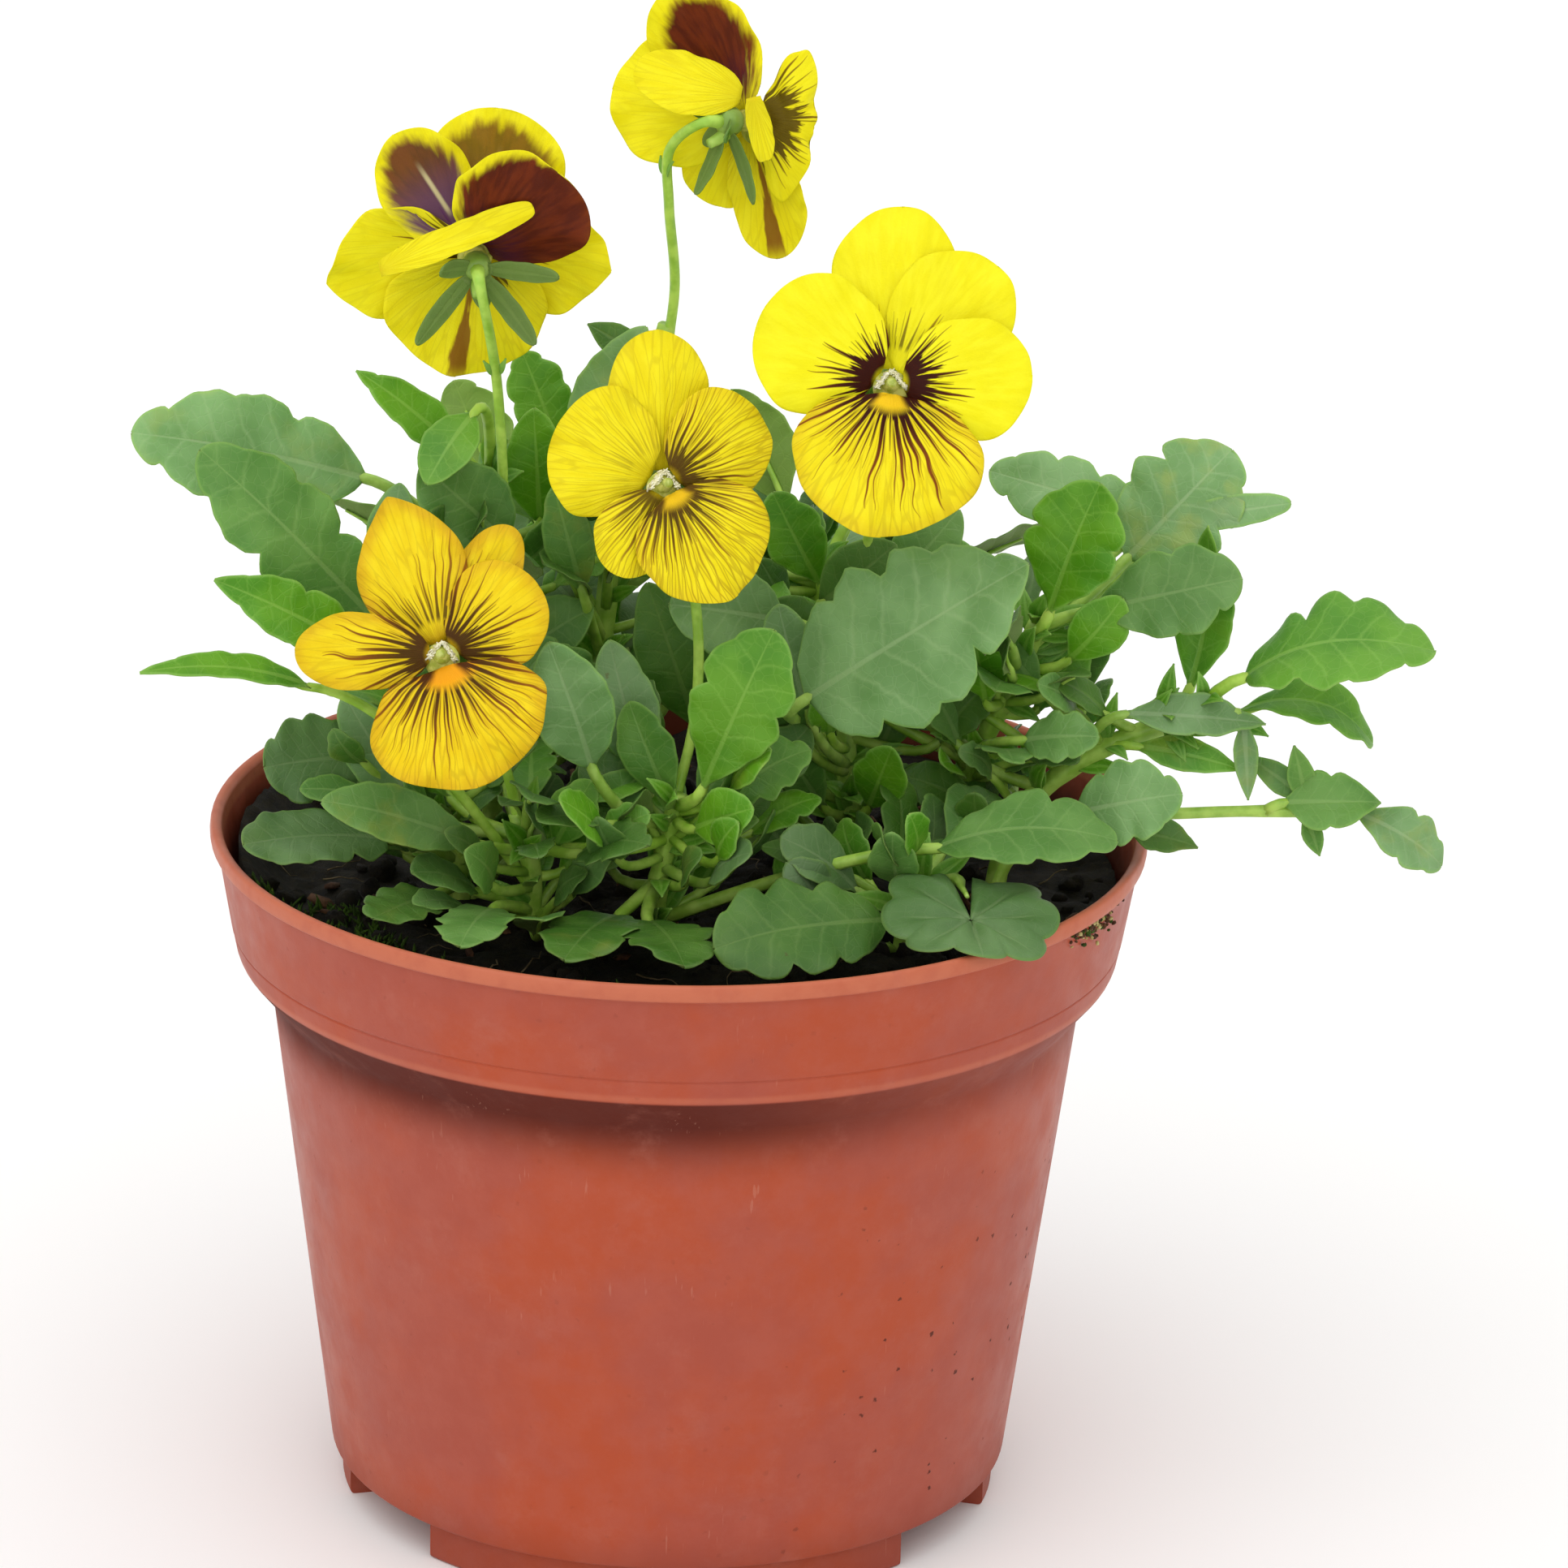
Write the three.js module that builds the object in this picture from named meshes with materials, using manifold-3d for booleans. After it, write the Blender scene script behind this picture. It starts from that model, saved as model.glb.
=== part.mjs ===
// A yellow pansy plant in a round terracotta-coloured plastic pot.
// Millimetres, +Z up, the front of the plant towards -Y.
// The origin is the centre of the pot's underside, so the pot stands on z = 0.
import * as THREE from 'three';
import { mergeVertices } from 'three/addons/utils/BufferGeometryUtils.js';
import Module from 'manifold-3d';

const wasm = await Module();
wasm.setup();

// ---------------------------------------------------------------- driving dimensions

const CLEARANCE = 0.3; // gap between neighbouring pieces

const POT_HEIGHT = 98;
const LIP_RADIUS = 65; // outside of the rolled lip
const MOUTH_RADIUS = 63.3; // inner edge of the lip
const COLLAR_TOP_RADIUS = 64.1;
const COLLAR_LOW_RADIUS = 61.3; // where the collar turns in to the bevel
const COLLAR_LOW_Z = 80;
const BEVEL_RADIUS = 56.4; // foot of the bevel, top of the tapered body
const BEVEL_Z = 74.2;
const LEDGE_RADIUS = 47.7; // lowest ring of the tapered body
const FOOT_HEIGHT = 5.8;
const FOOT_RADIUS = 46.2;
const WALL = 1.3; // plastic thickness
const POT_SIDES = 32;
const SOIL_SIDES = 24;
const FACET_SAG = LIP_RADIUS * (1 - Math.cos(Math.PI / SOIL_SIDES)); // how far in a flat side lies

const BAY_ANGLE = 30; // degrees that each drainage bay takes from the foot
const BAY_CENTRES = [-150, -30, 90]; // degrees from +X, one bay at the back
const BAY_INNER_RADIUS = 30;
const BAY_HEIGHT = 5.4;
const DRAIN_RADIUS = 3.5;
const DRAIN_CIRCLE = 38;

const SOIL_LEVEL = 88.5;
const STEM_RADIUS = 1.9;
const STEM_FOOT_Z = 76; // stems stand this deep in the soil
const PETIOLE_RADIUS = 0.85; // leaf stalk
const STALK_RADIUS = 0.8; // flower stalk
const LEAF_THICKNESS = 0.75;
const PETAL_THICKNESS = 0.7;
const LEAST_HALF = 0.6; // half the width of a leaf at its very tip
const PETAL_LEAST_HALF = 1;

const HUB_RADIUS = 2.6; // where the roots of a bloom's petals meet
const HUB_HALF_LENGTH = 2.2;
const PETAL_ROOT = 1.7; // how far from the hub's axis a petal begins
const PISTIL_RADIUS = 0.9;
const BORE_RADIUS = 1.4; // hole through the hub for the pistil
const CALYX_RADIUS = 1.9;
const STALK_NECK = 6; // the flower stalk runs straight for this length below the hub
const PISTIL_REACH = 1.5; // how far the pistil stands out of the hub

// ---------------------------------------------------------------- blade forms

// peak: where along the blade it is widest; root and crown: how its two ends narrow;
// lobes and cut: rounded teeth on each side and their depth; plain: the length at the root
// without teeth; fold: how steeply the two halves rise from the midrib; wave: edge ripple.
const FORMS = {
  spoon: { peak: 0.62, root: 1.25, crown: 0.5, lobes: 2, cut: 0.28, plain: 0.35, fold: 0.22, wave: 0.02 },
  young: { peak: 0.6, root: 1.1, crown: 0.55, lobes: 1, cut: 0.2, plain: 0.45, fold: 0.2, wave: 0.02 },
  oval: { peak: 0.5, root: 0.75, crown: 0.6, lobes: 1, cut: 0.12, plain: 0.4, fold: 0.2, wave: 0.02 },
  round: { peak: 0.5, root: 0.42, crown: 0.42, lobes: 3, cut: 0.26, plain: 0.02, fold: 0.12, wave: 0.03 },
  crenate: { peak: 0.52, root: 0.6, crown: 0.5, lobes: 3, cut: 0.32, plain: 0.08, fold: 0.12, wave: 0.03 },
  lobed: { peak: 0.4, root: 0.45, crown: 0.7, lobes: 4, cut: 0.34, plain: 0.04, fold: 0.1, wave: 0.03 },
  pointed: { peak: 0.42, root: 0.9, crown: 0.85, lobes: 2, cut: 0.24, plain: 0.15, fold: 0.3, wave: 0.03 },
  lance: { peak: 0.4, root: 0.8, crown: 0.9, lobes: 0, cut: 0, plain: 1, fold: 0.25, wave: 0 },
  strap: { peak: 0.5, root: 0.35, crown: 0.4, lobes: 0, cut: 0, plain: 1, fold: 0.12, wave: 0 },
};
const LEAF_COLUMNS = [-1, 0, 1];
const SLIM_COLUMNS = [-1, 1];
const SLIM_WIDTH = 12.5; // narrower leaves are flat across
const BROAD_WIDTH = 18; // wider leaves have rounder teeth

const PETAL_FORMS = {
  fan: { peak: 0.46, root: 0.28, crown: 0.55, fold: -0.05, wave: 0.05 },
  petal: { peak: 0.56, root: 0.42, crown: 0.45, fold: -0.06, wave: 0.03 },
  slab: { peak: 0.62, root: 0.55, crown: 0.32, fold: -0.06, wave: 0.02 },
  peaked: { peak: 0.48, root: 0.42, crown: 0.75, fold: -0.06, wave: 0.03 },
  fold: { peak: 0.5, root: 0.25, crown: 0.25, fold: 0.25, wave: 0 },
};
const PETAL_COLUMNS = [-1, 0, 1];
const PETAL_STATIONS = [0, 0.28, 0.56, 0.8, 0.95, 1];

// ---------------------------------------------------------------- the plant's layout

// Each stem lists its own points (and its thickness if it is a slim one), then its leaves as rows of
// [place along the stem, base of the blade, tip, width, the way its upper side looks, form, bow].
const STEMS = {
  stem_front: {
    route: [[-3, -18, STEM_FOOT_Z], [-3, -18, 91], [-2, -20, 100], [0, -21, 109]],
    leaves: [
      [0.75, [-12, -27, 115], [-18, -31, 134], 11, [0.1, -0.9, 0.4], 'oval', 1.5],
      [0.85, [-5, -16, 110], [-10, -15, 129], 9, [-0.1, -0.9, 0.4], 'oval', 1],
      [0.85, [-1, -20, 107], [-7, -20, 122], 8, [-0.2, -0.9, 0.3], 'young', 1],
      [0.95, [3, -27, 112], [12, -31, 136], 14, [-0.1, -0.95, 0.3], 'spoon', 1.5],
      [0.9, [2, -26, 106], [10, -34, 112], 8, [0.3, -0.8, 0.5], 'young', 1],
      [0.4, [35, -29, 105], [59, -31, 107], 14, [0, -0.35, 0.9], 'crenate', 3],
      [0.6, [-8, -28, 94], [-15, -50, 96], 13, [-0.2, -0.4, 0.9], 'crenate', 1],
      [0.6, [-4, -30, 94], [1, -51, 96], 13, [0.1, -0.4, 0.9], 'crenate', 1],
      [0.75, [5, -14, 106], [9, -12, 121], 8, [0.2, -0.9, 0.4], 'young', 1],
    ],
    stalk: [[-1, -20, 106], [2, -15, 120], [1, -15, 138]],
    bloom: 'bloom_middle',
  },
  stem_front_left: {
    route: [[-20, -19, STEM_FOOT_Z], [-20, -19, 91], [-20, -20, 98], [-22, -21, 106]],
    leaves: [
      [0.8, [-28, -25, 103], [-48, -31, 111], 9, [-0.1, -0.6, 0.8], 'oval', 1],
      [0.6, [-50, -28, 126], [-72, -38, 131], 6, [-0.1, -0.45, 0.9], 'pointed', 2],
      [0.9, [-36, -13, 104], [-46, -14, 120], 9, [-0.2, -0.9, 0.3], 'oval', 1],
      [0.8, [-17, -23, 102], [-12, -24, 112], 7, [0, -0.9, 0.4], 'young', 1],
      [0.5, [-25, -29, 95], [-29, -46, 96], 11, [-0.1, -0.4, 0.9], 'crenate', 1],
    ],
    stalk: [[-21, -20, 100], [-24, -22, 114], [-29, -26, 127]],
    bloom: 'bloom_front_left',
  },
  stem_left: {
    route: [[-30, -7, STEM_FOOT_Z], [-30, -7, 91], [-32, -8, 98], [-36, -9, 105]],
    leaves: [
      [0.6, [-40, -16, 100], [-59, -25, 102], 13, [-0.1, -0.35, 0.95], 'round', 1],
      [0.5, [-33, -24, 95], [-41, -37, 96], 10, [0, -0.4, 0.9], 'round', 0.5],
      [0.9, [-44, -5, 108], [-57, -10, 108], 13, [-0.2, -0.8, 0.5], 'round', 1],
      [0.95, [-43, -19, 128], [-63, -22, 139], 9, [0.1, -0.8, 0.6], 'pointed', 1],
      [0.8, [-36, 0, 104], [-44, 4, 118], 9, [0, -0.9, 0.4], 'oval', 1],
      [0.7, [-37, -4, 103], [-47, -1, 104], 7, [0, -0.6, 0.8], 'young', 1],
    ],
  },
  stem_upper_left: {
    route: [[-26, 6, STEM_FOOT_Z], [-26, 6, 95], [-27, 7, 112], [-27, 8, 132], [-27, 8, 146]],
    leaves: [
      [0.65, [-42, -11, 130], [-65, -15, 155], 15, [0.15, -0.9, 0.45], 'crenate', 1.5],
      [0.75, [-44, 2, 146], [-75, -7, 155], 16, [0.1, -0.85, 0.5], 'crenate', 2],
      [0.95, [-31, 2, 150], [-45, 0, 162], 7, [0.2, -0.8, 0.5], 'pointed', 1],
      [0.98, [-29, -3, 157], [-35, -10, 149], 8, [-0.2, -0.8, 0.6], 'oval', 1],
      [0.85, [-24, -1, 138], [-36, -4, 150], 12, [0, -0.9, 0.4], 'oval', 1],
      [0.8, [-41, -1, 133], [-39, 0, 146], 7, [0, -0.9, 0.3], 'oval', 1],
    ],
    stalk: [[-27, 8, 130], [-25, 3, 138], [-25, -1, 148], [-26, -4, 163]],
    bloom: 'bloom_top_left',
  },
  stem_tall_middle: {
    route: [[-10, 9, STEM_FOOT_Z], [-10, 9, 94], [-11, 11, 120], [-8, 13, 145], [-3, 11, 166]],
    leaves: [
      [0.65, [-17, 18, 144], [-23, 20, 159], 9, [0.1, -0.9, 0.3], 'spoon', 1],
      [0.6, [-20, 9, 138], [-21, 7, 155], 9, [0, -0.9, 0.3], 'oval', 1],
      [0.8, [-6, 19, 158], [-14, 21, 163], 5, [0.1, -0.8, 0.5], 'lance', 1],
      [0.7, [-16, 15, 145], [-6, 17, 164], 9, [-0.2, -0.9, 0.3], 'oval', 1],
      [0.45, [-14, 1, 131], [-18, 0, 146], 7, [0, -0.9, 0.3], 'oval', 1],
      [0.35, [-12, 1, 112], [-18, -4, 124], 9, [0, -0.9, 0.4], 'spoon', 1],
      [0.3, [-8, 1, 104], [-4, -5, 117], 8, [0, -0.9, 0.4], 'young', 1],
      [0.55, [-3, 14, 132], [3, 12, 148], 10, [0.1, -0.9, 0.4], 'oval', 1],
    ],
    stalk: [[-3, 11, 162], [-2, 10, 172], [-3, 8, 184], [-3, 7, 192]],
    bloom: 'bloom_top',
  },
  stem_centre_right: {
    route: [[24, 3, STEM_FOOT_Z], [24, 3, 92], [23, 5, 108], [23, 7, 124]],
    leaves: [
      [0.8, [14, -5, 129], [-2, -8, 132], 13, [-0.1, -0.9, 0.4], 'oval', 1],
      [0.9, [19, 7, 130], [12, 5, 144], 9, [-0.1, -0.9, 0.3], 'spoon', 1],
      [0.5, [2, 0, 112], [-5, 1, 132], 10, [0, -0.9, 0.3], 'oval', 1],
      [0.75, [17, -20, 123], [46, -24, 144], 24, [-0.15, -0.9, 0.4], 'lobed', 1.5],
      [0.6, [17, -12, 119], [13, -13, 134], 8, [-0.2, -0.9, 0.3], 'young', 1],
      [0.95, [19, 3, 129], [29, 2, 138], 9, [0.1, -0.9, 0.3], 'oval', 1],
      [0.5, [27, 8, 104], [33, 10, 120], 8, [0.1, -0.9, 0.4], 'young', 1],
      [0.45, [20, 0, 100], [13, -3, 112], 7, [-0.1, -0.9, 0.4], 'young', 1],
      [0.45, [26, -5, 102], [29, -11, 113], 8, [0, -0.9, 0.4], 'young', 1],
      [0.3, [16, 6, 98], [7, 8, 111], 9, [0, -0.9, 0.4], 'spoon', 1],
      [0.85, [28, 10, 128], [38, 12, 140], 9, [0.1, -0.9, 0.4], 'oval', 1],
    ],
    stalk: [[23, 6, 118], [25, 2, 138], [28, -7, 155]],
    bloom: 'bloom_right',
  },
  stem_right: {
    route: [[38, 6, STEM_FOOT_Z], [38, 6, 92], [41, 4, 106], [46, 1, 120], [49, 0, 128]],
    leaves: [
      [0.95, [64, 12, 139], [42, 14, 145], 11, [0, -0.9, 0.4], 'crenate', 1],
      [0.95, [50, -6, 131], [56, -10, 151], 14, [-0.2, -0.9, 0.4], 'spoon', 1.5],
      [0.98, [55, -2, 130], [76, -7, 137], 13, [0.1, -0.9, 0.4], 'spoon', 1],
      [0.9, [61, 4, 136], [75, 7, 151], 17, [0, -0.9, 0.4], 'crenate', 1],
      [0.9, [67, 5, 141], [83, 2, 145], 4.5, [0, -0.9, 0.4], 'strap', 1],
      [0.6, [47, -10, 114], [57, -14, 116], 8, [0.1, -0.8, 0.6], 'crenate', 1],
      [0.75, [42, -3, 117], [40, -7, 129], 8, [-0.2, -0.9, 0.3], 'young', 1],
      [0.85, [53, -2, 123], [60, -5, 133], 8, [0.2, -0.9, 0.3], 'young', 1],
      [0.7, [42, 11, 112], [38, 16, 127], 9, [-0.1, -0.9, 0.4], 'oval', 1],
    ],
  },
  stem_far_right: {
    route: [
      [44, -4, STEM_FOOT_Z],
      [44, -4, 91],
      [47, -3, 101],
      [57, -3, 110],
      [67, -4, 115],
      [74, -5, 119],
    ],
    leaves: [
      [0.8, [70, -1, 119], [71, -2, 142], 10, [-0.5, -0.8, 0.3], 'pointed', -3],
      [0.95, [77, -8, 123], [102, -14, 129], 17, [0, -0.5, 0.85], 'crenate', 5],
      [0.85, [76, -3, 116], [96, -5, 113], 10, [0, -0.4, 0.9], 'spoon', 5],
      [0.5, [54, -17, 106], [68, -22, 111], 12, [0.1, -0.8, 0.5], 'crenate', 1],
      [0.6, [61, -7, 117], [80, -10, 117], 7, [0, -0.6, 0.8], 'pointed', 0.5],
      [0.85, [77, -9, 117], [78, -10, 106], 3.5, [0, -0.9, 0.3], 'lance', 0.5],
      [0.7, [63, -6, 112], [77, -9, 110], 5, [0, -0.8, 0.6], 'lance', 1],
    ],
  },
  stem_trailing: {
    thickness: 0.6,
    route: [
      [43, -15, STEM_FOOT_Z],
      [43, -15, 91],
      [46, -14, 99],
      [56, -12, 103],
      [72, -10, 104],
      [91, -11, 105],
    ],
    leaves: [
      [0.6, [62, -13, 102], [71, -16, 101], 6, [0, -0.6, 0.8], 'pointed', 0.5],
      [0.97, [92, -11, 105], [105, -13, 98], 9, [0.2, -0.7, 0.7], 'spoon', 1.5],
      [0.85, [83, -11, 106], [96, -13, 107], 9, [0, -0.8, 0.5], 'pointed', 0.5],
      [0.92, [86, -10, 106], [84, -10, 114], 4, [0, -0.9, 0.3], 'lance', 0.3],
      [0.9, [86, -9, 106], [78, -6, 111], 4, [0, -0.9, 0.4], 'lance', 0.3],
      [0.92, [86, -11, 104], [88, -13, 99], 3, [0, -0.9, 0.3], 'lance', 0.3],
    ],
  },
  stem_front_right: {
    route: [[31, -24, STEM_FOOT_Z], [31, -24, 91], [33, -26, 98]],
    leaves: [
      [0.98, [38, -31, 101], [41, -57, 97], 23, [0.1, -0.5, 0.85], 'round', 2.5],
      [0.8, [28, -36, 97], [5, -46, 97], 16, [0, -0.5, 0.85], 'crenate', 1],
    ],
  },
  stem_back_left: {
    route: [[-22, 26, STEM_FOOT_Z], [-22, 26, 95], [-24, 29, 112], [-25, 31, 126]],
    leaves: [
      [0.6, [-38, 34, 110], [-58, 42, 116], 13, [-0.3, 0.4, 0.85], 'spoon', 2],
      [0.75, [-28, 42, 118], [-36, 60, 124], 14, [-0.1, 0.6, 0.8], 'crenate', 2],
      [0.95, [-26, 34, 132], [-33, 42, 148], 11, [-0.1, 0.9, 0.4], 'spoon', 1],
      [0.95, [-18, 32, 132], [-10, 34, 147], 10, [0.1, 0.9, 0.4], 'oval', 1],
      [0.6, [-12, 40, 106], [-6, 58, 108], 13, [0, 0.5, 0.85], 'round', 2],
      [0.9, [-35, 24, 126], [-52, 26, 136], 9, [-0.2, 0.5, 0.8], 'pointed', 1],
    ],
  },
  stem_back_right: {
    route: [[16, 26, STEM_FOOT_Z], [16, 26, 95], [18, 28, 112], [20, 28, 128]],
    leaves: [
      [0.6, [30, 34, 108], [46, 46, 110], 14, [0.2, 0.5, 0.85], 'round', 2],
      [0.75, [22, 40, 118], [24, 60, 124], 13, [0.1, 0.6, 0.8], 'spoon', 2],
      [0.95, [24, 32, 134], [30, 40, 150], 11, [0.1, 0.9, 0.4], 'spoon', 1],
      [0.95, [14, 33, 134], [6, 40, 148], 10, [-0.1, 0.9, 0.4], 'oval', 1],
      [0.9, [34, 26, 124], [52, 30, 132], 10, [0.2, 0.6, 0.8], 'crenate', 1],
      [0.6, [8, 36, 112], [4, 50, 120], 9, [0, 0.8, 0.6], 'oval', 1],
    ],
  },
};

// Each bloom has its centre, the way it faces, its petals and its sepals.
// A petal is a row of [direction in degrees clockwise from the top as seen from the front,
// length, width, lift out of the bloom's plane in degrees, place along the hub, form, bow],
// or, in a half-closed bloom, [base, tip, width, face, form, bow] from the centre.
const BLOOMS = {
  bloom_top_left: {
    centre: [-29, -4, 180],
    face: [-0.1, 0.97, 0.2],
    free: [
      [[-1, 0, 1], [-11, -1, 16.5], 13, [-0.2, 0.9, 0.1], 'petal', 1],
      [[0, 0, 1], [11, -5, 13], 19, [0.1, 0.9, 0.3], 'slab', -1.5],
      [[1, 1, 1], [3.5, 5, 18.8], 19, [0, 0.9, -0.3], 'petal', 0],
      [[-12.5, -6, -1], [8, -6, 8], 4.6, [0, -0.7, 0.7], 'fold', 0],
      [[-1, 1, 0], [-20, 3, -6], 19, [-0.2, 0.9, 0.2], 'peaked', 1],
      [[1, 1, 0], [18.5, 2, -2.5], 18, [0.2, 0.9, 0.2], 'peaked', 1],
      [[0, 1, -1], [-2.5, 4, -18.5], 22, [0, 0.9, 0.3], 'fan', 1],
    ],
    sepals: [[-8, -3, -10], [8, -2, -10], [11, -4, 0], [-5, -4, 0.5], [1, 1, -6]],
  },
  bloom_top: {
    centre: [8, 8, 196],
    face: [0.8, 0.58, -0.1],
    free: [
      [[-1, 1, 1], [-12, 4, 16.5], 16, [0.4, 0.85, 0.1], 'petal', 1],
      [[-1, 2, 0], [-19, 7, 2], 18, [-0.2, -0.9, 0.3], 'petal', 1],
      [[-1.5, -2, 4], [-16, -3, 7.5], 9, [-0.2, -0.8, 0.6], 'petal', 0],
      [[0, -3, 4], [1.8, -4.5, -4.5], 3.8, [0.5, -0.8, 0], 'fold', 0],
      [[1, 1, 0], [8.5, 1, -1], 21, [0.4, -0.9, 0.1], 'slab', 1],
      [[0, 1, -2], [4, 2, -20], 10.5, [0.2, 0.9, 0.2], 'petal', 1],
      [[-1, 2, -1], [-4.5, 5, -13.5], 13, [0, 0.9, 0.2], 'petal', 1],
    ],
    sepals: [[-4, -1, -10], [4, -2, -11], [-5, -1, 2], [0, -5, -1], [-3, 3, -4]],
  },
  bloom_right: {
    centre: [27, -24, 169],
    face: [0.02, -0.96, 0.28],
    petals: [
      [3, 23.5, 17, -4, -1.5, 'petal', 0.5],
      [42, 21.2, 16.5, -4, -0.6, 'petal', 0.5],
      [-63, 19.5, 19, 2, 0.3, 'petal', 0.5],
      [86, 18.8, 16.5, 2, 0.3, 'petal', 0.5],
      [183, 20.7, 25.5, 5, 1.5, 'fan', 1],
    ],
  },
  bloom_middle: {
    centre: [-3, -26, 155],
    face: [0.22, -0.93, 0.3],
    petals: [
      [2, 20.4, 14, -5, -1.5, 'petal', 0.5],
      [-60, 16, 18, -4, -0.6, 'petal', 0.5],
      [58, 16, 15, 3, 0.3, 'petal', 0.5],
      [-146, 14, 10.5, 3, 0.4, 'petal', 0.5],
      [150, 17.8, 18.5, 5, 1.5, 'fan', 1],
    ],
  },
  bloom_front_left: {
    centre: [-32, -34, 133],
    face: [-0.05, -0.94, 0.34],
    petals: [
      [-22, 22.3, 15, -4, -0.9, 'peaked', 0.5],
      [26, 19.5, 9, -6, -1.8, 'petal', 0.5],
      [52, 15.8, 14.5, 0, -0.3, 'petal', 0.5],
      [-91, 19.6, 10.5, 2, 0.4, 'petal', 0.5],
      [162, 18.5, 24.5, 5, 1.5, 'fan', 1],
    ],
  },
};

const SEPAL_COUNT = 5;
const SEPAL_SPREAD = 8.5; // how far a sepal reaches from the axis
const SEPAL_SWEEP = 4.5; // and back from the calyx
const SEPAL_WIDTH = 2.9;

// ---------------------------------------------------------------- materials

const TERRACOTTA = new THREE.MeshStandardMaterial({ color: 0xb25c46, roughness: 0.5, metalness: 0 });
const SOIL = new THREE.MeshStandardMaterial({ color: 0x1c130d, roughness: 0.95, metalness: 0 });
const LEAF_GREEN = new THREE.MeshStandardMaterial({ color: 0x4f8a2c, roughness: 0.55, metalness: 0 });
const PETAL_YELLOW = new THREE.MeshStandardMaterial({ color: 0xf0dc28, roughness: 0.6, metalness: 0 });

// ---------------------------------------------------------------- solids

function vector([x, y, z]) {
  return new THREE.Vector3(x, y, z);
}

function solidOf(geometry) {
  geometry.deleteAttribute('normal');
  geometry.deleteAttribute('uv');
  const merged = mergeVertices(geometry, 1e-4);
  return new wasm.Manifold(
    new wasm.Mesh({
      numProp: 3,
      vertProperties: merged.attributes.position.array,
      triVerts: new Uint32Array(merged.index.array),
    }),
  );
}

// Fused repeats keep only their one connected body: a sealed hollow or a loose scrap goes.
function oneBody(solid) {
  return solid.decompose().reduce((most, body) => (body.volume() > most.volume() ? body : most));
}

function meshOf(name, solid, material) {
  const { vertProperties, triVerts } = oneBody(solid.simplify(0.08)).getMesh();
  const geometry = new THREE.BufferGeometry();
  geometry.setAttribute('position', new THREE.BufferAttribute(vertProperties, 3));
  geometry.setIndex(new THREE.BufferAttribute(triVerts, 1));
  geometry.computeVertexNormals();
  const mesh = new THREE.Mesh(geometry, material);
  mesh.name = name;
  return mesh;
}

// Turns a profile of [radius, height] points about the vertical axis.
function turned(profile, sides = POT_SIDES) {
  const points = profile.map(([radius, height]) => new THREE.Vector2(radius, height));
  return new THREE.LatheGeometry(points, sides).rotateX(Math.PI / 2);
}

function cylinder(radius, from, to, x, y, sides) {
  return new THREE.CylinderGeometry(radius, radius, to - from, sides)
    .rotateX(Math.PI / 2)
    .translate(x, y, (from + to) / 2);
}

// A rod of a round section along a smooth route through the given points.
function rod(points, radius, sides, steps) {
  const section = new THREE.Shape();
  for (let i = 0; i < sides; i += 1) {
    const angle = (2 * Math.PI * i) / sides;
    const x = radius * Math.cos(angle);
    const y = radius * Math.sin(angle);
    if (i === 0) section.moveTo(x, y);
    else section.lineTo(x, y);
  }
  const extrudePath = new THREE.CatmullRomCurve3(points);
  return new THREE.ExtrudeGeometry(section, { steps, bevelEnabled: false, extrudePath });
}

// ---------------------------------------------------------------- pot

// A sector of a ring round the pot's axis, between two heights.
function sector(centre, halfAngle, innerRadius, outerRadius, from, to) {
  const start = THREE.MathUtils.degToRad(centre - halfAngle);
  const end = THREE.MathUtils.degToRad(centre + halfAngle);
  const shape = new THREE.Shape();
  shape.absarc(0, 0, outerRadius, start, end, false);
  shape.absarc(0, 0, innerRadius, end, start, true);
  const options = { depth: to - from, bevelEnabled: false, curveSegments: 3 };
  return new THREE.ExtrudeGeometry(shape, options).translate(0, 0, from);
}

// The bays with a margin added all round: 0 for the hollow, WALL for the skin over it.
function bays(margin, outerRadius, from) {
  const halfAngle = BAY_ANGLE / 2 + THREE.MathUtils.radToDeg(margin / BAY_INNER_RADIUS);
  return BAY_CENTRES.map((centre) =>
    solidOf(sector(centre, halfAngle, BAY_INNER_RADIUS - margin, outerRadius, from, BAY_HEIGHT + margin)),
  );
}

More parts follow.
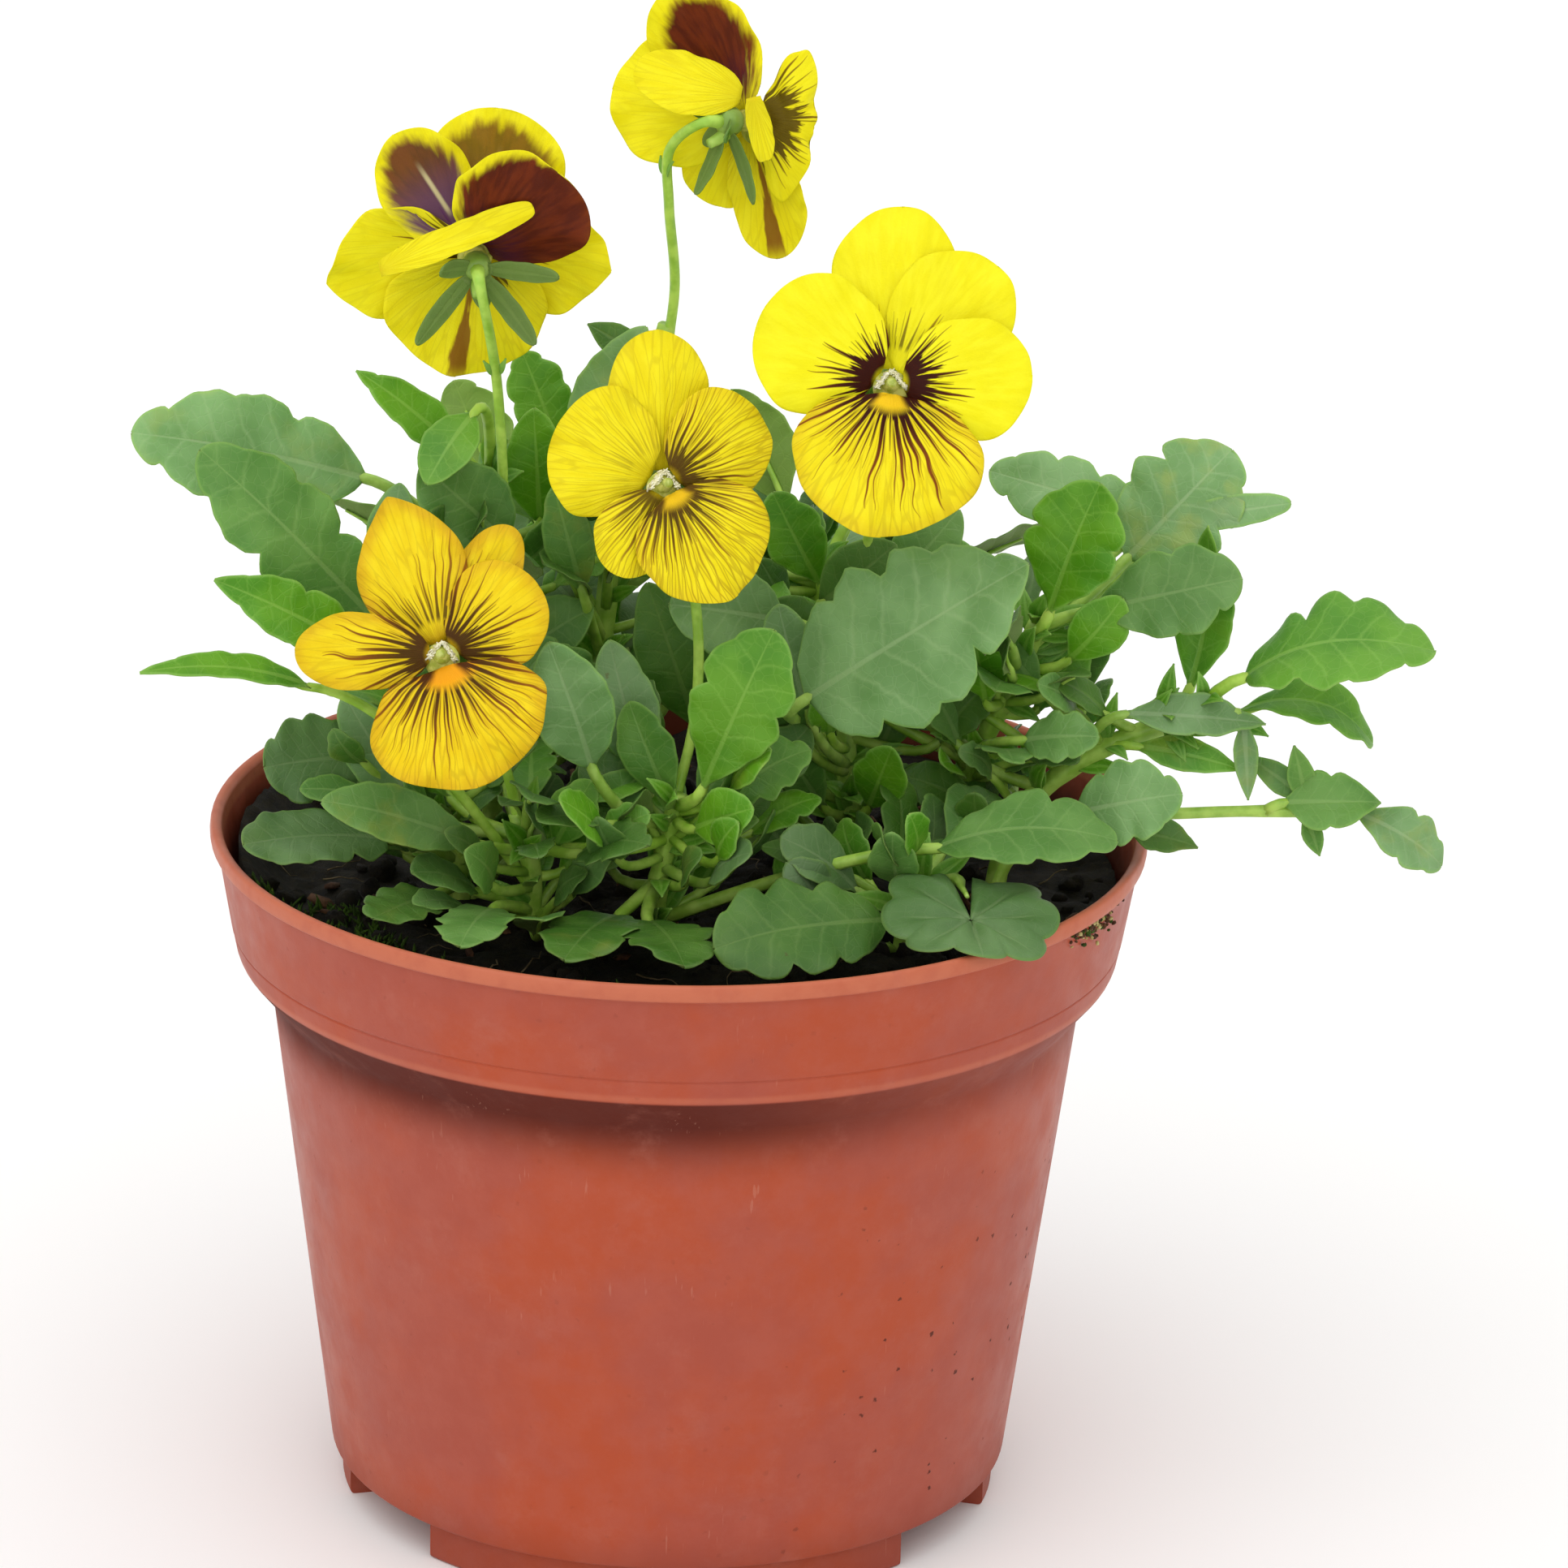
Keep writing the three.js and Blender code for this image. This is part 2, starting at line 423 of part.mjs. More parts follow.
function makePot() {
  const profile = [
    [0, 0],
    [FOOT_RADIUS - 0.8, 0],
    [FOOT_RADIUS, 0.8],
    [FOOT_RADIUS, FOOT_HEIGHT],
    [LEDGE_RADIUS, FOOT_HEIGHT],
    [BEVEL_RADIUS, BEVEL_Z],
    [COLLAR_LOW_RADIUS, COLLAR_LOW_Z],
    [COLLAR_TOP_RADIUS, POT_HEIGHT - 2.6],
    [LIP_RADIUS, POT_HEIGHT - 1.6],
    [LIP_RADIUS - 0.5, POT_HEIGHT - 0.15],
    [MOUTH_RADIUS + 0.5, POT_HEIGHT],
    [MOUTH_RADIUS, POT_HEIGHT - 0.7],
    [COLLAR_TOP_RADIUS - WALL, POT_HEIGHT - 3],
    [COLLAR_LOW_RADIUS - WALL, COLLAR_LOW_Z + 0.6],
    [BEVEL_RADIUS - WALL, BEVEL_Z + 0.6],
    [LEDGE_RADIUS - WALL, FOOT_HEIGHT + 2.6],
    [FOOT_RADIUS - WALL, FOOT_HEIGHT + 1.4],
    [FOOT_RADIUS - WALL, WALL],
    [0, WALL],
  ];
  let pot = solidOf(turned(profile));
  for (const skin of bays(WALL, FOOT_RADIUS - 0.5, 0)) pot = pot.add(skin);
  for (const hollow of bays(0, LIP_RADIUS, -1)) pot = pot.subtract(hollow);
  for (const centre of BAY_CENTRES) {
    const angle = THREE.MathUtils.degToRad(centre);
    const x = DRAIN_CIRCLE * Math.cos(angle);
    const y = DRAIN_CIRCLE * Math.sin(angle);
    pot = pot.subtract(solidOf(cylinder(DRAIN_RADIUS, 2, 9, x, y, 10)));
  }
  return meshOf('pot', pot, TERRACOTTA);
}

// ---------------------------------------------------------------- soil

function soilHeight(x, y) {
  const swell = 0.9 * Math.sin(x / 7 + 1) * Math.cos(y / 6);
  const crumbs = 0.5 * Math.sin(x / 2.6 + y / 3.4) + 0.4 * Math.cos(y / 2.3 - x / 5);
  return SOIL_LEVEL + swell + crumbs;
}

function makeSoil(stemFeet) {
  const inside = WALL + CLEARANCE + FACET_SAG;
  const profile = [
    [0, WALL + CLEARANCE],
    [FOOT_RADIUS - inside, WALL + CLEARANCE],
    [FOOT_RADIUS - inside, FOOT_HEIGHT + 1.8],
    [LEDGE_RADIUS - inside, FOOT_HEIGHT + 3.2],
    [BEVEL_RADIUS - inside, BEVEL_Z + 0.7],
    [COLLAR_LOW_RADIUS - inside, COLLAR_LOW_Z + 0.7],
    [COLLAR_LOW_RADIUS - inside + 1, SOIL_LEVEL - 2],
    [51, SOIL_LEVEL],
    [34, SOIL_LEVEL],
    [17, SOIL_LEVEL],
    [0, SOIL_LEVEL],
  ];
  const geometry = turned(profile, SOIL_SIDES);
  const position = geometry.attributes.position;
  for (let i = 0; i < position.count; i += 1) {
    const onTop = position.getZ(i) > SOIL_LEVEL - 1;
    if (onTop) position.setZ(i, soilHeight(position.getX(i), position.getY(i)));
  }
  let soil = solidOf(geometry);
  for (const bay of bays(WALL + CLEARANCE + 0.2, LIP_RADIUS, 0)) soil = soil.subtract(bay);
  for (const [x, y] of stemFeet) {
    const hole = cylinder(STEM_RADIUS + 3 * CLEARANCE, STEM_FOOT_Z - CLEARANCE, POT_HEIGHT, x, y, 6);
    soil = soil.subtract(solidOf(hole));
  }
  return meshOf('potting_soil', soil, SOIL);
}

// ---------------------------------------------------------------- leaf blades and petals

function halfWidth(shape, t) {
  const rising = Math.sin((Math.PI / 2) * Math.min(1, t / shape.peak)) ** shape.root;
  const falling = Math.cos((Math.PI / 2) * Math.max(0, (t - shape.peak) / (1 - shape.peak)));
  const body = t < shape.peak ? rising : Math.max(0, falling) ** shape.crown;
  if (!shape.lobes || t <= shape.plain) return body;
  const along = (t - shape.plain) / (1 - shape.plain);
  const tooth = Math.abs(Math.sin(Math.PI * (shape.lobes + 0.5) * along)) ** 0.7;
  return body * (1 - shape.cut * (1 - tooth));
}

// Places along a leaf where its outline turns: its notches, and the round of each tooth.
function leafStations(shape, width) {
  if (!shape.lobes) return [0, 0.3, 0.65, 1];
  const stations = [0, Math.max(shape.plain, 0.08)];
  const step = (1 - shape.plain) / (shape.lobes + 0.5);
  const rounds = width < BROAD_WIDTH ? [0.5, 1] : [0.28, 0.72, 1];
  for (let lobe = 0; lobe < shape.lobes; lobe += 1) {
    for (const round of rounds) stations.push(shape.plain + step * (lobe + round));
  }
  stations.push(1);
  return stations;
}

// A thin sheet lofted through rows, with the same triangles on both faces. A row has its centre,
// its directions to the side and out of the upper face, half width, thickness, fold and ripple.
function sheet(rows, columns) {
  const position = [];
  for (const row of rows) {
    for (const column of columns) {
      const reach = Math.abs(column);
      const slope = -Math.sign(column) * row.fold;
      const rise = row.fold * row.half * reach + row.ripple * column;
      const point = row.centre.clone().addScaledVector(row.side, row.half * column);
      point.addScaledVector(row.normal, rise);
      const offset = row.normal.clone().addScaledVector(row.side, slope).setLength(row.thickness / 2);
      position.push(...point.clone().add(offset).toArray());
      position.push(...point.sub(offset).toArray());
    }
  }
  const geometry = new THREE.BufferGeometry();
  geometry.setAttribute('position', new THREE.Float32BufferAttribute(position, 3));
  geometry.setIndex(sheetTriangles(rows.length, columns.length));
  return geometry;
}

function sheetTriangles(rows, columns) {
  const upper = (row, column) => 2 * (row * columns + column);
  const lower = (row, column) => upper(row, column) + 1;
  const index = [];
  for (let row = 0; row + 1 < rows; row += 1) {
    const next = row + 1;
    for (let left = 0; left + 1 < columns; left += 1) {
      const right = left + 1;
      const corners = [[row, left], [row, right], [next, right], [next, left]];
      const order = left < (columns - 1) / 2 ? [0, 1, 3, 1, 2, 3] : [0, 1, 2, 0, 2, 3];
      index.push(...order.map((i) => upper(...corners[i])));
      index.push(...order.map((i) => lower(...corners[i])).reverse());
    }
    const last = columns - 1;
    index.push(upper(row, 0), upper(next, 0), lower(next, 0));
    index.push(upper(row, 0), lower(next, 0), lower(row, 0));
    index.push(upper(row, last), lower(next, last), upper(next, last));
    index.push(upper(row, last), lower(row, last), lower(next, last));
  }
  const end = rows - 1;
  for (let left = 0; left + 1 < columns; left += 1) {
    const right = left + 1;
    index.push(upper(0, left), lower(0, left), lower(0, right));
    index.push(upper(0, left), lower(0, right), upper(0, right));
    index.push(upper(end, left), lower(end, right), lower(end, left));
    index.push(upper(end, left), upper(end, right), lower(end, right));
  }
  return index;
}

// Rows along a midrib that bows towards its upper face between base and tip.
function bladeRows({ base, tip, width, face, bow, shape, stations, thickness, leastHalf }) {
  const along = tip.clone().sub(base).normalize();
  const up = face.clone().addScaledVector(along, -face.dot(along)).normalize();
  const middle = base.clone().add(tip).multiplyScalar(0.5).addScaledVector(up, 2 * bow);
  const midrib = new THREE.QuadraticBezierCurve3(base, middle, tip);
  return stations.map((t) => {
    const forward = midrib.getTangent(t);
    const side = forward.clone().cross(up).normalize();
    return {
      centre: midrib.getPoint(t),
      side,
      normal: side.clone().cross(forward),
      half: Math.max(leastHalf, (width / 2) * halfWidth(shape, t)),
      thickness,
      fold: shape.fold,
      ripple: shape.wave * width * Math.sin(9 * t),
    };
  });
}

// A leaf with its stalk: the stalk leaves the stem, swings round and runs into the midrib.
// It is one loft, whose rows change from a flat-sided stalk to the thin blade.
function leaf(from, base, tip, width, face, form, bow) {
  const shape = FORMS[form];
  const stations = leafStations(shape, width);
  const thickness = LEAF_THICKNESS;
  const blade = bladeRows({ base, tip, width, face, bow, shape, stations, thickness, leastHalf: LEAST_HALF });
  const span = base.distanceTo(from);
  const along = tip.clone().sub(base).normalize();
  const bend = base.clone().addScaledVector(along, -0.4 * span);
  const stalk = new THREE.QuadraticBezierCurve3(from, bend, base);
  const steps = Math.max(2, Math.round(span / 15));
  const rows = [];
  let side = blade[0].side;
  for (let i = steps - 1; i >= 0; i -= 1) {
    const forward = stalk.getTangent(i / steps);
    side = side.clone().addScaledVector(forward, -side.dot(forward)).normalize();
    rows.unshift({
      centre: stalk.getPoint(i / steps),
      side,
      normal: side.clone().cross(forward),
      half: PETIOLE_RADIUS,
      thickness: 1.7 * PETIOLE_RADIUS,
      fold: 0,
      ripple: 0,
    });
  }
  blade[0].half = PETIOLE_RADIUS;
  blade[0].thickness = 1.4 * PETIOLE_RADIUS;
  const columns = width < SLIM_WIDTH ? SLIM_COLUMNS : LEAF_COLUMNS;
  return solidOf(sheet([...rows, ...blade], columns));
}

// ---------------------------------------------------------------- blooms

// The bloom's own frame: out of its face, up, and to the right as seen from the front.
function bloomFrame({ centre, face }) {
  const out = vector(face).normalize();
  const up = new THREE.Vector3(0, 0, 1).addScaledVector(out, -out.z).normalize();
  const right = up.clone().cross(out);
  return { centre: vector(centre), out, up, right };
}

function alongBloom({ centre, out }, distance) {
  return centre.clone().addScaledVector(out, distance);
}

// The way out from the bloom's axis, turned clockwise from the top.
function outwardOf({ up, right }, turn) {
  return up.clone().multiplyScalar(Math.cos(turn)).addScaledVector(right, Math.sin(turn));
}

function petalBlade(base, tip, width, face, form, bow) {
  const rows = bladeRows({
    base,
    tip,
    width,
    face,
    bow,
    shape: PETAL_FORMS[form],
    stations: PETAL_STATIONS,
    thickness: PETAL_THICKNESS,
    leastHalf: PETAL_LEAST_HALF,
  });
  return solidOf(sheet(rows, PETAL_COLUMNS));
}

function polarPetal(frame, [direction, length, width, lift, place, form, bow]) {
  const turn = THREE.MathUtils.degToRad(direction);
  const tilt = THREE.MathUtils.degToRad(lift);
  const outward = outwardOf(frame, turn);
  const axis = outward.clone().multiplyScalar(Math.cos(tilt)).addScaledVector(frame.out, Math.sin(tilt));
  const root = alongBloom(frame, place);
  const base = root.clone().addScaledVector(axis, PETAL_ROOT);
  const tip = root.clone().addScaledVector(axis, length);
  return petalBlade(base, tip, width, frame.out, form, bow);
}

function freePetal(frame, [base, tip, width, face, form, bow]) {
  const from = vector(base).add(frame.centre);
  const to = vector(tip).add(frame.centre);
  return petalBlade(from, to, width, vector(face), form, bow);
}

// The petals meet in a short hub with a plain hole that the pistil passes through.
function makeBloom(name, bloom) {
  const frame = bloomFrame(bloom);
  const petals = (bloom.petals ?? []).map((row) => polarPetal(frame, row));
  const freePetals = (bloom.free ?? []).map((row) => freePetal(frame, row));
  const axis = (reach) => [alongBloom(frame, -reach), alongBloom(frame, reach)];
  const hub = solidOf(rod(axis(HUB_HALF_LENGTH), HUB_RADIUS, 8, 1));
  const bore = solidOf(rod(axis(2 * HUB_HALF_LENGTH), BORE_RADIUS, 6, 1));
  const around = wasm.Manifold.union([...petals, ...freePetals, hub]);
  return meshOf(name, around.subtract(bore), PETAL_YELLOW);
}

// Stalk, calyx and pistil: the green parts that hold a bloom.
function bloomHolder(stalk, bloom) {
  const frame = bloomFrame(bloom);
  const calyxCentre = alongBloom(frame, -HUB_HALF_LENGTH - CLEARANCE - CALYX_RADIUS);
  const route = [...stalk.map(vector), alongBloom(frame, -HUB_HALF_LENGTH - STALK_NECK), calyxCentre];
  const stalkRod = solidOf(rod(route, STALK_RADIUS, 5, 2 * (route.length - 1)));
  const calyx = solidOf(new THREE.OctahedronGeometry(CALYX_RADIUS, 1).translate(...calyxCentre.toArray()));
  const pistilTip = alongBloom(frame, HUB_HALF_LENGTH + PISTIL_REACH);
  const pistil = solidOf(rod([calyxCentre, pistilTip], PISTIL_RADIUS, 5, 1));
  return [stalkRod, calyx, pistil, ...sepalBlades(frame, calyxCentre, bloom)];
}

// Five narrow sepals spread from the calyx behind the petals.
function sepalBlades(frame, calyxCentre, bloom) {
  const reaches = bloom.sepals?.map((reach) => vector(reach)) ?? [];
  for (let i = reaches.length; i < SEPAL_COUNT; i += 1) {
    const turn = (2 * Math.PI * (i + 0.5)) / SEPAL_COUNT;
    const reach = outwardOf(frame, turn).multiplyScalar(SEPAL_SPREAD);
    reaches.push(reach.addScaledVector(frame.out, -SEPAL_SWEEP));
  }
  return reaches.map((reach) => {
    const base = calyxCentre.clone().addScaledVector(reach, 0.1);
    const tip = calyxCentre.clone().add(reach);
    const rows = bladeRows({
      base,
      tip,
      width: SEPAL_WIDTH,
      face: frame.out,
      bow: 0.4,
      shape: FORMS.strap,
      stations: [0, 0.45, 1],
      thickness: LEAF_THICKNESS,
      leastHalf: LEAST_HALF,
    });
    return solidOf(sheet(rows, SLIM_COLUMNS));
  });
}

// ---------------------------------------------------------------- leafy stems

function makeStem(name, { route, leaves, stalk, bloom, thickness = 1 }) {
  const points = route.map(vector);
  const stemCurve = new THREE.CatmullRomCurve3(points);
  const solids = [solidOf(rod(points, thickness * STEM_RADIUS, 6, 2 * (points.length - 1)))];
  for (const [place, baseAt, tipAt, width, face, form, bow] of leaves) {
    const from = stemCurve.getPointAt(place);
    solids.push(leaf(from, vector(baseAt), vector(tipAt), width, vector(face), form, bow));
  }
  if (bloom) solids.push(...bloomHolder(stalk, BLOOMS[bloom]));
  return meshOf(name, wasm.Manifold.union(solids), LEAF_GREEN);
}

// ---------------------------------------------------------------- the whole part

const plant = new THREE.Group();
plant.add(makePot());
plant.add(makeSoil(Object.values(STEMS).map(({ route }) => route[0])));
for (const [name, stem] of Object.entries(STEMS)) plant.add(makeStem(name, stem));
for (const [name, bloom] of Object.entries(BLOOMS)) plant.add(makeBloom(name, bloom));

export default plant;
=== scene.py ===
import math
import random

import bmesh
import bpy
import numpy as np
from mathutils import Matrix, Vector
from mathutils.noise import fractal


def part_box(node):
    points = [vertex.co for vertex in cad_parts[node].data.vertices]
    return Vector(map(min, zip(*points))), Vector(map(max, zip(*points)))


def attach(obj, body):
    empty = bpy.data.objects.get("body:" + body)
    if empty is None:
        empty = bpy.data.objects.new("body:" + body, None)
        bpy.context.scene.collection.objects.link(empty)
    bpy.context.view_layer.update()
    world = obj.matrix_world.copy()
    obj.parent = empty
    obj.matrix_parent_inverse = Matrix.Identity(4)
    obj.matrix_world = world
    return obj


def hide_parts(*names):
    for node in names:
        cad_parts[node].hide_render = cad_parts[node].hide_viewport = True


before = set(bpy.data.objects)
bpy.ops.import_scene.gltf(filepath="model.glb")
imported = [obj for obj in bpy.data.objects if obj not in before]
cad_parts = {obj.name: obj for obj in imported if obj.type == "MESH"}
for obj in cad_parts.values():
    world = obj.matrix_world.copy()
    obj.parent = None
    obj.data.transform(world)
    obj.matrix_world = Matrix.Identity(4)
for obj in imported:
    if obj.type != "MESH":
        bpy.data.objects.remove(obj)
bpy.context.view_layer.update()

# ---------------------------------------------------------------- the pot
# A thin nursery pot, injection-moulded in terracotta-coloured polypropylene: a rolled lip, a stepped
# collar by which empty pots stack, a tapered body and a foot broken by three drainage bays. Handling
# has left faint rubs on it, with a little dust and specks of dried soil.

MM = 0.001
LIP_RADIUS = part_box("pot")[1].x / MM
POT_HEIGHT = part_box("pot")[1].z / MM
MOUTH_RADIUS = LIP_RADIUS - 1.7
COLLAR_TOP_RADIUS = LIP_RADIUS - 0.9
COLLAR_LOW_RADIUS = LIP_RADIUS - 3.7
COLLAR_LOW_Z = POT_HEIGHT - 18
BEVEL_RADIUS = LIP_RADIUS - 8.6
BEVEL_Z = POT_HEIGHT - 23.8
LEDGE_RADIUS = LIP_RADIUS - 17.3
FOOT_RADIUS = LIP_RADIUS - 18.8
FOOT_HEIGHT = 5.8
BAY_RADIUS = 30
BAY_HEIGHT = 5.4
BAY_CENTRES = (-150, -30, 90)
BAY_HALF_ANGLE = 15
WALL = 1.3
DRAIN_RADIUS = 3.5
DRAIN_CIRCLE = 38
DRAIN_LOW, DRAIN_HIGH = 2, 9
POLYPROPYLENE_IOR = 1.49


def in_scene(name, data):
    made = bpy.data.objects.new(name, data)
    bpy.context.scene.collection.objects.link(made)
    return made


class Skin:
    """Gathers one piece: points in millimetres, faces, and a value for each point in each layer."""

    def __init__(self, *layers):
        self.points = []
        self.faces = []
        self.face_materials = []
        self.layers = {layer: [] for layer in layers}
        self.count = 0

    def add(self, points, faces, material=0, **values):
        points = np.asarray(points, float).reshape(-1, 3)
        self.points.append(points)
        self.faces += [tuple(corner + self.count for corner in face) for face in faces]
        self.face_materials += [material] * len(faces)
        for layer, gathered in self.layers.items():
            gathered.append(np.broadcast_to(values.get(layer, 0.0), len(points)))
        self.count += len(points)

    def loft(self, rings, material=0, ends="fan", **values):
        """Joins rings of points, each running anticlockwise as seen from the ring after it."""
        rings = np.asarray(rings, float)
        rows, columns = rings.shape[:2]
        faces = []
        for row in range(rows - 1):
            for column in range(columns):
                here, there = row * columns, (row + 1) * columns
                after = (column + 1) % columns
                faces.append((here + column, here + after, there + after, there + column))
        last = (rows - 1) * columns
        points = rings.reshape(-1, 3)
        flat = {layer: np.broadcast_to(value, (rows, columns)).ravel() for layer, value in values.items()}
        if ends == "fan":
            first_middle, last_middle = rows * columns, rows * columns + 1
            points = np.concatenate([points, rings[[0, -1]].mean(1)])
            flat = {layer: np.append(value, value[[0, last]]) for layer, value in flat.items()}
            for column in range(columns):
                after = (column + 1) % columns
                faces.append((after, column, first_middle))
                faces.append((last + column, last + after, last_middle))
        else:
            for column in range(columns // 2 - 1):
                across = columns - 1 - column
                faces.append((column + 1, column, across, across - 1))
                faces.append((last + column, last + column + 1, last + across - 1, last + across))
        self.add(points, faces, material, **flat)

    def piece(self, name, *materials):
        mesh = bpy.data.meshes.new(name)
        mesh.from_pydata((np.concatenate(self.points) * MM).tolist(), [], self.faces)
        for layer, gathered in self.layers.items():
            values = np.concatenate(gathered).astype(np.float32)
            mesh.attributes.new(layer, "FLOAT", "POINT").data.foreach_set("value", values)
        for material in materials:
            mesh.materials.append(material)
        mesh.polygons.foreach_set("material_index", self.face_materials)
        mesh.polygons.foreach_set("use_smooth", [True] * len(self.faces))
        mesh.update()
        return in_scene(name, mesh)


def rounded(corners, steps=5):
    """An outline through (radius, height, rounding) corners; all but the two ends are turned in a curve."""
    places = [np.array(corner[:2], float) for corner in corners]
    outline = [places[0]]
    for before, place, after, corner in zip(places, places[1:], places[2:], corners[1:]):
        starts = []
        for neighbour in (before, after):
            way = neighbour - place
            reach = np.linalg.norm(way)
            starts.append(place + way * min(corner[2] / reach, 0.45))
        for t in np.linspace(0, 1, steps):
            outline.append((1 - t) ** 2 * starts[0] + 2 * t * (1 - t) * place + t**2 * starts[1])
    return np.array(outline + [places[-1]])


def bay_columns(margin, step=3):
    """(angle in degrees, whether it is in a bay) round the foot, with two columns at each side of a bay.
    margin is the thickness of what lies over the bay."""
    spread = math.degrees(margin / BAY_RADIUS)
    columns = []
    for angle in range(-180, 180, step):
        nearest = min(((angle - centre + 180) % 360 - 180 for centre in BAY_CENTRES), key=abs)
        if abs(nearest) == BAY_HALF_ANGLE:
            edge = angle + math.copysign(spread, nearest)
            columns += [(edge, nearest > 0), (edge, nearest < 0)]
        else:
            columns.append((angle, abs(nearest) < BAY_HALF_ANGLE))
    return columns


def turned(outline_of, margin):
    """Rings of points from an outline of (radius, height) points turned about the pot's axis."""
    outlines = {in_bay: outline_of(in_bay) for in_bay in (False, True)}
    columns = []
    for angle, in_bay in bay_columns(margin):
        radius, height = outlines[in_bay].T
        around = math.radians(angle)
        columns.append(np.stack([radius * math.cos(around), radius * math.sin(around), height], 1))
    return np.stack(columns, 1)


def outside_of_pot(in_bay):
    foot, roof_z = (BAY_RADIUS, BAY_HEIGHT) if in_bay else (FOOT_RADIUS, FOOT_HEIGHT)
    line_z = COLLAR_LOW_Z + 3
    line_radius = COLLAR_LOW_RADIUS + 0.6
    return rounded([
        (6, 0, 0),
        (foot, 0, 0.8),
        (foot, roof_z, 0.3),
        (LEDGE_RADIUS, FOOT_HEIGHT, 0.6),
        (BEVEL_RADIUS, BEVEL_Z, 0.8),
        (COLLAR_LOW_RADIUS - 0.3, COLLAR_LOW_Z - 0.3, 0.4),
        (COLLAR_LOW_RADIUS + 0.05, COLLAR_LOW_Z + 0.5, 0.5),
        (line_radius - 0.05, line_z, 0.15),
        (line_radius - 0.2, line_z + 0.2, 0.12),
        (line_radius + 0.1, line_z + 0.5, 0.2),
        (COLLAR_TOP_RADIUS - 0.05, POT_HEIGHT - 2.5, 0.25),
        (LIP_RADIUS - 0.15, POT_HEIGHT - 2.25, 0.25),
        (LIP_RADIUS, POT_HEIGHT - 1.3, 0.6),
        (LIP_RADIUS - 0.15, POT_HEIGHT, 0.6),
        (MOUTH_RADIUS + 0.7, POT_HEIGHT, 0.3),
        (MOUTH_RADIUS, POT_HEIGHT - 0.5, 0.4),
        (COLLAR_TOP_RADIUS - WALL, POT_HEIGHT - 3, 0.4),
    ])


def inside_of_pot(in_bay):
    foot = (BAY_RADIUS if in_bay else FOOT_RADIUS) - WALL
    return rounded([
        (COLLAR_TOP_RADIUS - WALL - 0.1, POT_HEIGHT - 3.6, 0),
        (COLLAR_LOW_RADIUS - WALL, COLLAR_LOW_Z + 0.6, 0.6),
        (BEVEL_RADIUS - WALL, BEVEL_Z + 0.6, 0.6),
        (LEDGE_RADIUS - WALL, FOOT_HEIGHT + 2.6, 0.5),
        (FOOT_RADIUS - WALL, FOOT_HEIGHT + 1.4, 0.3),
        (foot, BAY_HEIGHT + WALL, 0.2),
        (foot, WALL, 0.3),
        (6, WALL, 0),
    ])


def cleaned(made, sharp_angle):
    """Joins points that lie on each other, drops faces with no area, and keeps steep edges sharp."""
    shell = bmesh.new()
    shell.from_mesh(made.data)
    bmesh.ops.remove_doubles(shell, verts=shell.verts, dist=2e-6)
    bmesh.ops.dissolve_degenerate(shell, edges=shell.edges, dist=2e-6)
    bmesh.ops.recalc_face_normals(shell, faces=shell.faces)
    shell.to_mesh(made.data)
    shell.free()
    made.data.set_sharp_from_angle(angle=math.radians(sharp_angle))


def drill(made, holes):
    """Cuts upright round holes (x, y, radius) through the floor of a closed mesh."""
    bits = bmesh.new()
    for x, y, radius in holes:
        place = Matrix.Translation(Vector((x, y, (DRAIN_LOW + DRAIN_HIGH) / 2)) * MM)
        size = {"radius1": radius * MM, "radius2": radius * MM, "depth": (DRAIN_HIGH - DRAIN_LOW) * MM}
        bmesh.ops.create_cone(bits, cap_ends=True, segments=24, matrix=place, **size)
    bit_mesh = bpy.data.meshes.new("drill")
    bits.to_mesh(bit_mesh)
    bits.free()
    bit = in_scene("drill", bit_mesh)
    cut = made.modifiers.new("holes", "BOOLEAN")
    cut.object = bit
    cut.solver = "EXACT"
    bpy.context.view_layer.update()
    finished = made.evaluated_get(bpy.context.evaluated_depsgraph_get())
    made.data = bpy.data.meshes.new_from_object(finished)
    made.modifiers.clear()
    bpy.data.objects.remove(bit)


def colour(code):
    """The colour of a six-figure code as numbers for a shader."""
    parts = [int(code[i : i + 2], 16) / 255 for i in (0, 2, 4)]
    linear = [part / 12.92 if part < 0.04 else ((part + 0.055) / 1.055) ** 2.4 for part in parts]
    return (*linear, 1.0)


class Value:
    """What comes out of a shader node. Sums written with it add the nodes that work them out."""

    def __init__(self, socket):
        self.socket = socket
        self.tree = socket.id_data

    def __add__(self, other):
        return maths("ADD", self, other)

    def __radd__(self, other):
        return maths("ADD", other, self)

    def __sub__(self, other):
        return maths("SUBTRACT", self, other)

    def __rsub__(self, other):
        return maths("SUBTRACT", other, self)

    def __mul__(self, other):
        return maths("MULTIPLY", self, other)

    def __truediv__(self, other):
        return maths("DIVIDE", self, other)

    def __rtruediv__(self, other):
        return maths("DIVIDE", other, self)

    def __pow__(self, other):
        return maths("POWER", self, other)

    def __abs__(self):
        return maths("ABSOLUTE", self)


def feed(socket, value):
    """Gives a socket a number or the code of a colour, or links a value to it."""
    if isinstance(value, Value):
        value.tree.links.new(value.socket, socket)
    else:
        socket.default_value = colour(value) if isinstance(value, str) else value


def node(kind, inputs, tree=None, **settings):
    """Adds a shader node to a tree, or to that of its inputs, and gives its outputs by number and name."""
    tree = tree or next(value.tree for value in inputs.values() if isinstance(value, Value))
    made = tree.nodes.new("ShaderNode" + kind)
    for setting, value in settings.items():
        setattr(made, setting, value)
    for socket, value in inputs.items():
        feed(made.inputs[socket], value)
    outputs = {}
    for index, socket in enumerate(made.outputs):
        outputs[index] = outputs[socket.name] = Value(socket)
    return outputs


def maths(operation, *values):
    return node("Math", dict(enumerate(values)), operation=operation)[0]


